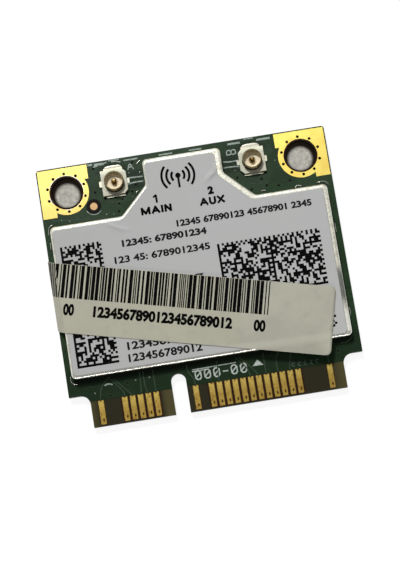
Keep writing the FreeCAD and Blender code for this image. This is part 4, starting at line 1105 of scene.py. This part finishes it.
def boardSurface(x, y, offset):
    # z is the board's top plus the offset
    return np.stack([x, y, np.full_like(x, boardTop) + offset], -1)


def onBoard(line, z=0.0):
    # points (x, y) laid on the board's top and raised by z
    return boardSurface(*np.asarray(line, float).T, z)


def boardRuns(lines, section, spacing, z=0.0, rounds=2):
    # a section carried over the board along each line, whose corners are softened
    return [sweep(onBoard(softened(line, spacing, rounds), z), section) for line in lines]


boardTraces = {
    "width": 0.13, "height": 0.012, "spacing": 0.12,
    "lines": (
        ((-10.62, -19.3), (-11.62, -20.15), (-11.82, -21.4)),
        ((-10.55, -19.5), (-9.36, -21.0), (-9.36, -21.4)),
        ((-10.25, -19.5), (-9.05, -20.9), (-8.62, -21.4)),
        ((-7.58, -19.3), (-7.58, -21.1), (-7.78, -21.4)),
        ((-7.20, -19.3), (-7.20, -21.0), (-7.02, -21.4)),
        ((-6.2, -19.3), (-6.2, -21.4)),
        ((-2.75, -19.3), (-2.75, -20.1), (-2.2, -20.8), (-2.2, -21.4)),
        ((2.2, -19.4), (3.25, -20.6), (3.4, -21.4)),
        ((2.55, -19.4), (3.6, -20.5), (4.18, -21.4)),
        ((0.3, -19.4), (0.3, -20.3), (0.2, -21.4)),
        ((5.0, -19.4), (5.0, -21.4)),
        ((6.6, -19.4), (6.15, -20.2), (6.2, -21.4)),
        ((7.8, -19.4), (7.6, -20.4), (7.4, -21.4)),
        ((11.4, -19.8), (11.4, -21.4)),
        ((12.9, -19.6), (13.7, -19.6), (14.3, -18.9)),
        ((-13.9, -2.7), (-11.4, -2.95), (-10.2, -3.05)),
        ((-8.3, -1.6), (-6.6, -1.9), (-5.6, -1.1)),
        ((6.3, -2.0), (7.4, -2.25), (8.3, -2.1)),
    ),
}
radioLines = {
    "width": 0.14, "height": 0.015, "spacing": 0.12,
    "lines": (
        ((-5.62, 0.50), (-4.15, 0.44)), ((-5.75, -0.12), (-5.0, -0.02), (-4.15, -0.06)),
        ((5.68, 0.52), (4.95, 0.46), (4.15, 0.58)), ((5.75, -0.14), (5.2, -0.06), (4.15, -0.04)),
        ((-11.2, -20.1), (-10.95, -19.95), (-10.6, -19.98), (-10.4, -20.12)),
    ),
}


def flatRuns(look):
    # flat strips along softened lines
    return joined(boardRuns(look["lines"], strip(look["width"], look["height"]), look["spacing"]))


addPiece("board_traces", flatRuns(boardTraces), finishes["trace"])
addPiece("radio_lines", flatRuns(radioLines), finishes["lineTin"])

viaLook = {  # profiles are shares of the radius and of the height, and a height below 0 is sunk in
    "pads": {"count": 10, "circle": 1.97, "first": 90, "radius": 0.15, "height": 0.004, "sides": 20,
             "profile": ((0, -1), (1, -1), (1, 1), (0.8, 0.25), (0, 0.125))},
    "dark": {"radius": 0.13, "height": 0.012, "sides": 18,
             "profile": ((0, -1), (1, -1), (1, 0.5), (0.6, 0.3), (0, 0.2))},
    "rims": {"radius": 0.13, "height": 0.012, "sides": 18,
             "profile": ((1.3, -1), (1.3, 0.4), (1.12, 1), (0.98, 0.5), (0.98, -1))},
    "caps": {"radius": 0.075, "height": 0.012, "sides": 16,
             "profile": ((0, -1), (1, -1), (0.9, 1), (0.5, 1.8), (0, 2))},
    "darkSpots": (
        (-9.22, -0.45), (-4.99, -0.30), (-6.55, -1.61), (-8.27, -1.25), (-7.08, -2.76), (-6.94, -1.95),
        (6.62, -2.70), (7.78, -1.77), (8.18, -2.51), (9.39, -2.71), (5.35, -1.25), (-5.45, -0.95),
        (-10.78, -21.16), (-12.39, -19.85), (12.51, -20.35), (-8.88, -20.18), (10.59, -2.37),
        (-5.0, 2.05), (5.0, 2.25), (-9.05, 2.0),
    ),
    "capSpots": (
        (-5.51, 1.02), (-8.40, -2.87), (-7.66, -2.95), (9.44, -0.09), (5.26, -0.48), (-12.26, -20.69),
        (-8.04, -20.02), (-6.63, -19.96), (-13.0, -2.75), (-12.2, -2.98),
    ),
}


def vias(kind, spots):
    # the kind's profile, scaled by its radius and height, turned about each spot; rims are hollow
    look = viaLook[kind]
    profile = [(share * look["radius"], up * look["height"] if up > 0 else -sunk)
               for share, up in look["profile"]]
    return turned(profile, onBoard(spots), look["sides"], kind == "rims")


def padSpots():
    # spots spread evenly on a circle round each screw hole
    look = viaLook["pads"]
    circle = arc(look["circle"], look["first"], look["first"] + 360, look["count"] + 1)[:-1]
    return np.concatenate([circle + (side * holeX, 0) for side in (-1, 1)])


addPiece("pad_vias", vias("pads", padSpots()), finishes["pit"])
addPiece("board_vias", vias("dark", viaLook["darkSpots"]), finishes["pit"])
addPiece("via_rims", vias("rims", viaLook["darkSpots"]), finishes["trace"], True)
addPiece("via_caps", vias("caps", viaLook["capSpots"]), finishes["dot"], True)

boreLook = {
    "inner": 1.575, "outer": 1.74, "height": 0.014, "crest": 0.02, "deep": 0.06, "wall": 0.03,
    "sides": 64, "wornRadius": 1.78, "wornLine": (0.09, 0.02), "wornZ": -0.01, "wornPoints": 24,
    "arcs": ((95, 160), (20, 55), (185, 215)),
}


def boreRings():
    # a dark burr round the edge of both screw holes: a low profile that dips into the bore
    look = boreLook
    inner, outer, high, deep = look["inner"], look["outer"], look["height"], look["deep"]
    loop = [(outer, -sunk), (outer, high * 0.5), (inner + look["crest"], high), (inner, high * 0.5),
            (inner, -deep), (inner + look["wall"], -deep)]
    return turned(loop, onBoard([(-holeX, 0), (holeX, 0)]), look["sides"], True)


def wornArcs():
    # silvery arcs outside the burr of the left hole, where a screw head rubbed: strips along a circle
    look = boreLook
    lines = [arc(look["wornRadius"], *ends, look["wornPoints"]) - (holeX, 0) for ends in look["arcs"]]
    return joined([sweep(onBoard(line, look["wornZ"]), strip(*look["wornLine"])) for line in lines])


addPiece("bore_rings", boreRings(), finishes["boreEdge"])
addPiece("worn_arcs", wornArcs(), finishes["wornRim"])

fiducialRing = {
    "spot": (-9.55, -1.85), "inner": 0.40, "outer": 0.76, "height": 0.006, "sides": 40,
    "lip": 0.85, "lipSpan": (205, 320), "lipBead": (0.07, 0.03), "lipPoints": 30,
}


def fiducialClearing():
    # a flat ring: a rectangle turned about the fiducial
    look = fiducialRing
    loop = [(look["outer"], -sunk), (look["outer"], look["height"]),
            (look["inner"], look["height"]), (look["inner"], -sunk)]
    return turned(loop, onBoard([look["spot"]]), look["sides"], True)


def fiducialLip():
    # a half-round bead along an arc in front of the ring
    look = fiducialRing
    line = arc(look["lip"], *look["lipSpan"], look["lipPoints"]) + look["spot"]
    return sweep(onBoard(line), bead(*look["lipBead"]))


addPiece("fiducial_clearing", fiducialClearing(), finishes["clearing"])
addPiece("fiducial_lip", fiducialLip(), finishes["silk"], True)

silkMarks = {
    "date": ("000-00", 0.55, -20.52, 1.00, 5.30, 0.132),  # text, x, y, height, width, stroke
    "line": 0.10, "height": 0.01, "crown": 0.95, "spacing": 0.08,
    "lines": (
        ((-2.3, -19.92), (2.2, -19.86)), ((-2.3, -20.10), (-0.6, -20.06)),
        ((4.68, 1.22), (4.68, 1.68), (5.12, 1.68), (5.12, 1.22), (4.68, 1.22)),
        ((5.16, 1.22), (5.16, 1.68), (5.60, 1.68), (5.60, 1.22), (5.16, 1.22)),
        ((-5.55, 1.35), (-5.30, 2.05), (-4.95, 1.35)), ((-5.45, 1.60), (-5.05, 1.60)),
        ((-9.02, 2.16), (-8.56, 2.26)), ((-7.88, 2.41), (-7.60, 2.47)),
        ((-7.12, 2.46), (-6.61, 2.43), (-6.17, 2.26)),
    ),
    "arrow": ((3.79, -20.52), (4.89, -20.52), (4.34, -19.92)), "arrowTip": 0.96, "arrowRows": 8,
}
wornMarks = {
    "radius": 0.17, "span": (40, 290), "points": 22, "line": (0.09, 0.008, 0.9),  # width, height, crown
    "spots": ((7.9, -21.0), (8.5, -21.02), (9.1, -21.0), (9.75, -21.02), (10.3, -21.0)),
}
edgePatches = {
    "height": 0.012, "grid": (6, 2),
    "rects": (  # left, low, right, high
        (-2.2, 2.28, -0.8, 2.42), (0.9, 2.27, 2.2, 2.40), (4.9, 2.22, 6.2, 2.42),
        (6.6, 2.52, 7.6, 2.64), (7.9, 2.20, 9.3, 2.42), (-5.9, 2.30, -4.4, 2.45),
        (-8.9, 2.25, -7.9, 2.50), (-7.4, 2.52, -6.3, 2.64), (-9.6, 2.35, -9.1, 2.55),
    ),
}


def silkPrint():
    # the date is strokes, lines are strips, and the arrow narrows evenly from its foot to its tip
    look = silkMarks
    parts = strokeWord(*look["date"], boardSurface)
    section = strip(look["line"], look["height"], look["crown"])
    parts += boardRuns(look["lines"], section, look["spacing"], rounds=1)
    left, right, top = np.array(look["arrow"])
    share = np.linspace(0, look["arrowTip"], look["arrowRows"])[:, None, None]
    across = np.linspace(0, 1, 2)[None, :, None]
    flat = (left + across * (right - left)) * (1 - share) + top * share
    x, y = flat[..., 0], flat[..., 1]
    parts.append(sheetPair(boardSurface(x, y, look["height"]), boardSurface(x, y, -sunk)))
    return joined(parts)


def faintPrint():
    # small open rings, too worn to read: strips along an arc round each spot
    look = wornMarks
    ring = arc(look["radius"], *look["span"], look["points"])
    return joined([sweep(onBoard(ring + spot), strip(*look["line"])) for spot in look["spots"]])


addPiece("silk_marks", silkPrint(), finishes["silk"])
addPiece("worn_marks", faintPrint(), finishes["faintSilk"])
patches = tiles(edgePatches["rects"], boardSurface, *edgePatches["grid"], edgePatches["height"])
addPiece("edge_patches", patches, finishes["lineTin"])

ringFoot = {
    "radius": 1.0, "under": 0.01, "height": 0.006, "span": (-188, 14), "points": 41,
    "width": (0.02, 0.08),  # at its ends and in its middle
}


def footShade():
    # painted shade round the front of each ring's foot: a dark crescent whose width follows half a sine
    # wave
    look = ringFoot
    ends, middle = look["width"]
    width = ends + (middle - ends) * np.sin(np.pi * np.linspace(0, 1, look["points"]))
    radius = np.stack([look["radius"] + width, np.full_like(width, look["radius"] - look["under"])])
    flat = radius[..., None] * arc(1.0, *look["span"], look["points"])
    parts = []
    for side in (-1, 1):
        x, y = side * portX + flat[..., 0], portY + flat[..., 1]
        upper, lower = (np.stack([x, y, np.full_like(x, portTop + z)], -1) for z in (look["height"], -sunk))
        parts.append(sheetPair(upper, lower))
    return joined(parts)


addPiece("ring_foot_shade", footShade(), finishes["ringShade"])

portSolder = {
    "from": 1.44, "reach": 0.38, "shift": 0.04, "half": 0.98, "narrow": 0.22, "round": 0.25,
    "height": 0.2, "least": 0.015, "grid": (13, 21),
}


def footSolder():
    # solder drawn up to each port's rear foot: its half width shrinks with the square of the way to the
    # rear, its height with the square of what is left, and both sides round off with a fourth power
    look = portSolder
    rows, cols = look["grid"]
    share = np.linspace(0, 1, rows)[:, None]
    across = np.linspace(-1, 1, cols)[None, :]
    y = portY + look["from"] + look["reach"] * share * (1 - look["round"] * across ** 4)
    rise = look["least"] + look["height"] * (1 - share) ** 2 * (1 - across ** 4)
    half = look["half"] * (1 - look["narrow"] * share ** 2) * across
    parts = []
    for side in (-1, 1):
        x = side * portX + look["shift"] + half
        parts.append(sheetPair(boardSurface(x, y, rise), boardSurface(x, y, -sunk)))
    return joined(parts)


addPiece("port_solder", footSolder(), finishes["paleSolder"], True)

solderLines = {
    "width": 0.13, "height": 0.12, "spacing": 0.06, "z": -0.005,
    "lines": (
        ((-14.50, -4.1), (-14.46, -3.5), (-14.28, -3.2), (-13.95, -3.1)),
        ((-14.48, -4.9), (-14.50, -5.6)),
        ((-14.46, -18.7), (-14.46, -19.2), (-14.28, -19.47), (-13.85, -19.55)),
        ((13.25, -3.1), (13.8, -2.98), (14.2, -3.12), (14.42, -3.45)),
        ((11.0, -3.2), (11.3, -3.02), (11.7, -3.12)),
        ((-5.12, -1.22), (-4.82, -0.95)),
        ((-4.45, 0.78), (-4.30, 0.98)),
        ((7.5, -3.0), (8.0, -3.02)),
        ((-4.62, 1.72), (-4.44, 1.98), (-4.22, 2.08)),
        ((-4.46, 0.90), (-4.36, 0.96)),
        ((-5.60, -1.46), (-5.50, -1.52)), ((-8.02, -1.48), (-7.92, -1.48)),
        ((-14.47, -12.6), (-14.47, -13.1)),
        ((14.36, -7.5), (14.36, -8.4)),
        ((14.36, -16.2), (14.36, -17.0)),
    ),
}


def solderBeads():
    # half-round beads along softened lines
    look = solderLines
    return joined(boardRuns(look["lines"], bead(look["width"], look["height"]), look["spacing"], look["z"]))


addPiece("solder_lines", solderBeads(), finishes["solder"], True)
print("board detailed")


# floor, light and camera

studio = {
    "floorHalf": 0.6, "floorGap": 0.00002,  # metres
    "floor": (0.93, 0.93, 0.93), "floorFleck": 1.02, "glow": 0.85, "glowLevel": 1.12,
    "under": (0.31, 0.30, 0.265), "underFleck": 1.6, "underRimShade": (0.012, 0.008, 0.006),
    "underY": -0.12, "underReach": (2.05, 2.0), "rimReach": (1.0, 1.42),
    "sky": (0.03, 0.47),  # strength at the front and at the rear
    "eye": (-1.006, -30.828, 151.472), "right": (0.98739, -0.15765, -0.01452),
    "up": (0.15821, 0.97929, 0.12637), "back": (-0.00571, -0.12707, 0.99188),
    "focal": 1500, "frame": (400, 570), "sensor": 36.0, "clip": (0.005, 5),
    "lamps": (  # name, place and aim in metres, width, height, watts
        ("key_lamp", (-0.034, 0.150, 0.260), (0, -0.011, 0.001), 0.05, 0.05, 0.69),
        ("front_strip", (0.0, -0.28, 0.08), (0, -0.018, 0.002), 0.36, 0.020, 0.32),
    ),
}


def floorPaper():
    # white paper, grey and speckled below the screw holes and painted dark at the rim of each grey patch as
    # shade; it glows for the camera and in what mirrors it
    look = studio
    material, place = newFinish("floor_paper", 0.9, specular=0.0)
    tree = material.node_tree
    shader = tree.nodes["Principled BSDF"]
    x, y, _ = axes(place)
    fine = grain(place, 3.5)
    paper = tint(fine, look["floor"], [value * look["floorFleck"] for value in look["floor"]])
    fleck = [value * look["underFleck"] for value in look["under"]]
    shade = tint(fade(fine, 0.25, 0.75), look["under"], fleck)
    fromHole = fromPair(x, y, (holeX, look["underY"]))
    # painted shade: each grey patch darkens towards its rim, where the hole's wall shades the floor
    shade = tint(fade(fromHole, *look["rimReach"]), shade, look["underRimShade"])
    paper = tint(fade(fromHole, *look["underReach"]), paper, shade)
    tree.links.new(paper, shader.inputs["Base Color"])
    glow = addNode(tree, "Emission", {"Color": paper, "Strength": look["glowLevel"]}).outputs[0]
    rays = addNode(tree, "LightPath").outputs
    mirrored = most(rays["Is Glossy Ray"], rays["Is Transmission Ray"])
    seen = times(most(rays["Is Camera Ray"], mirrored), look["glow"])
    mixed = addNode(tree, "MixShader", {0: seen, 1: shader.outputs[0], 2: glow}).outputs[0]
    tree.links.new(mixed, tree.nodes["Material Output"].inputs["Surface"])
    return material


def setFloor():
    # one square just below the part
    half, z = studio["floorHalf"], cadBox[0].z - studio["floorGap"]
    mesh = bpy.data.meshes.new("floor")
    corners = [(-half, -half, z), (half, -half, z), (half, half, z), (-half, half, z)]
    mesh.from_pydata(corners, [], [(0, 1, 2, 3)])
    mesh.materials.append(floorPaper())
    piece = bpy.data.objects.new("floor", mesh)
    bpy.context.scene.collection.objects.link(piece)


def axesMatrix(right, up, back, place):
    # three directions and a place are the columns of the matrix
    turn = np.eye(4)
    turn[:3] = np.stack([right, up, back, place], -1)
    return Matrix(turn.tolist())


def setLight():
    # a lamp looks from its place to its aim, with its long side level
    scene = bpy.context.scene
    scene.world = bpy.data.worlds.new("studio")
    scene.world.use_nodes = True
    tree = scene.world.node_tree  # the sky brightens evenly from the front to the rear
    toRear = axes(addNode(tree, "TexCoord").outputs["Generated"])[1]
    sky = tree.nodes["Background"]
    sky.inputs["Color"].default_value = (1, 1, 1, 1)
    tree.links.new(slope(toRear, -1.0, 1.0, *studio["sky"]), sky.inputs["Strength"])
    for name, place, aim, width, height, watts in studio["lamps"]:
        lamp = bpy.data.lights.new(name, "AREA")
        lamp.shape = "RECTANGLE"
        lamp.size, lamp.size_y, lamp.energy = width, height, watts
        holder = bpy.data.objects.new(name, lamp)
        scene.collection.objects.link(holder)
        away = np.array(place) - np.array(aim)
        away /= np.linalg.norm(away)
        side = np.cross((0, 0, 1), away)
        side /= np.linalg.norm(side)
        holder.matrix_world = axesMatrix(side, np.cross(away, side), away, place)


def setCamera():
    # the focal length in pixels of the photograph is scaled to the sensor
    scene = bpy.context.scene
    lens = bpy.data.cameras.new("camera")
    lens.sensor_width = studio["sensor"]
    lens.lens = studio["focal"] * studio["sensor"] / max(studio["frame"])
    lens.clip_start, lens.clip_end = studio["clip"]
    camera = bpy.data.objects.new("camera", lens)
    scene.collection.objects.link(camera)
    eye = np.array(studio["eye"]) * mm
    camera.matrix_world = axesMatrix(studio["right"], studio["up"], studio["back"], eye)
    scene.camera = camera


setFloor()
setLight()
setCamera()
bpy.context.scene.view_settings.view_transform = "Standard"
print("studio set")
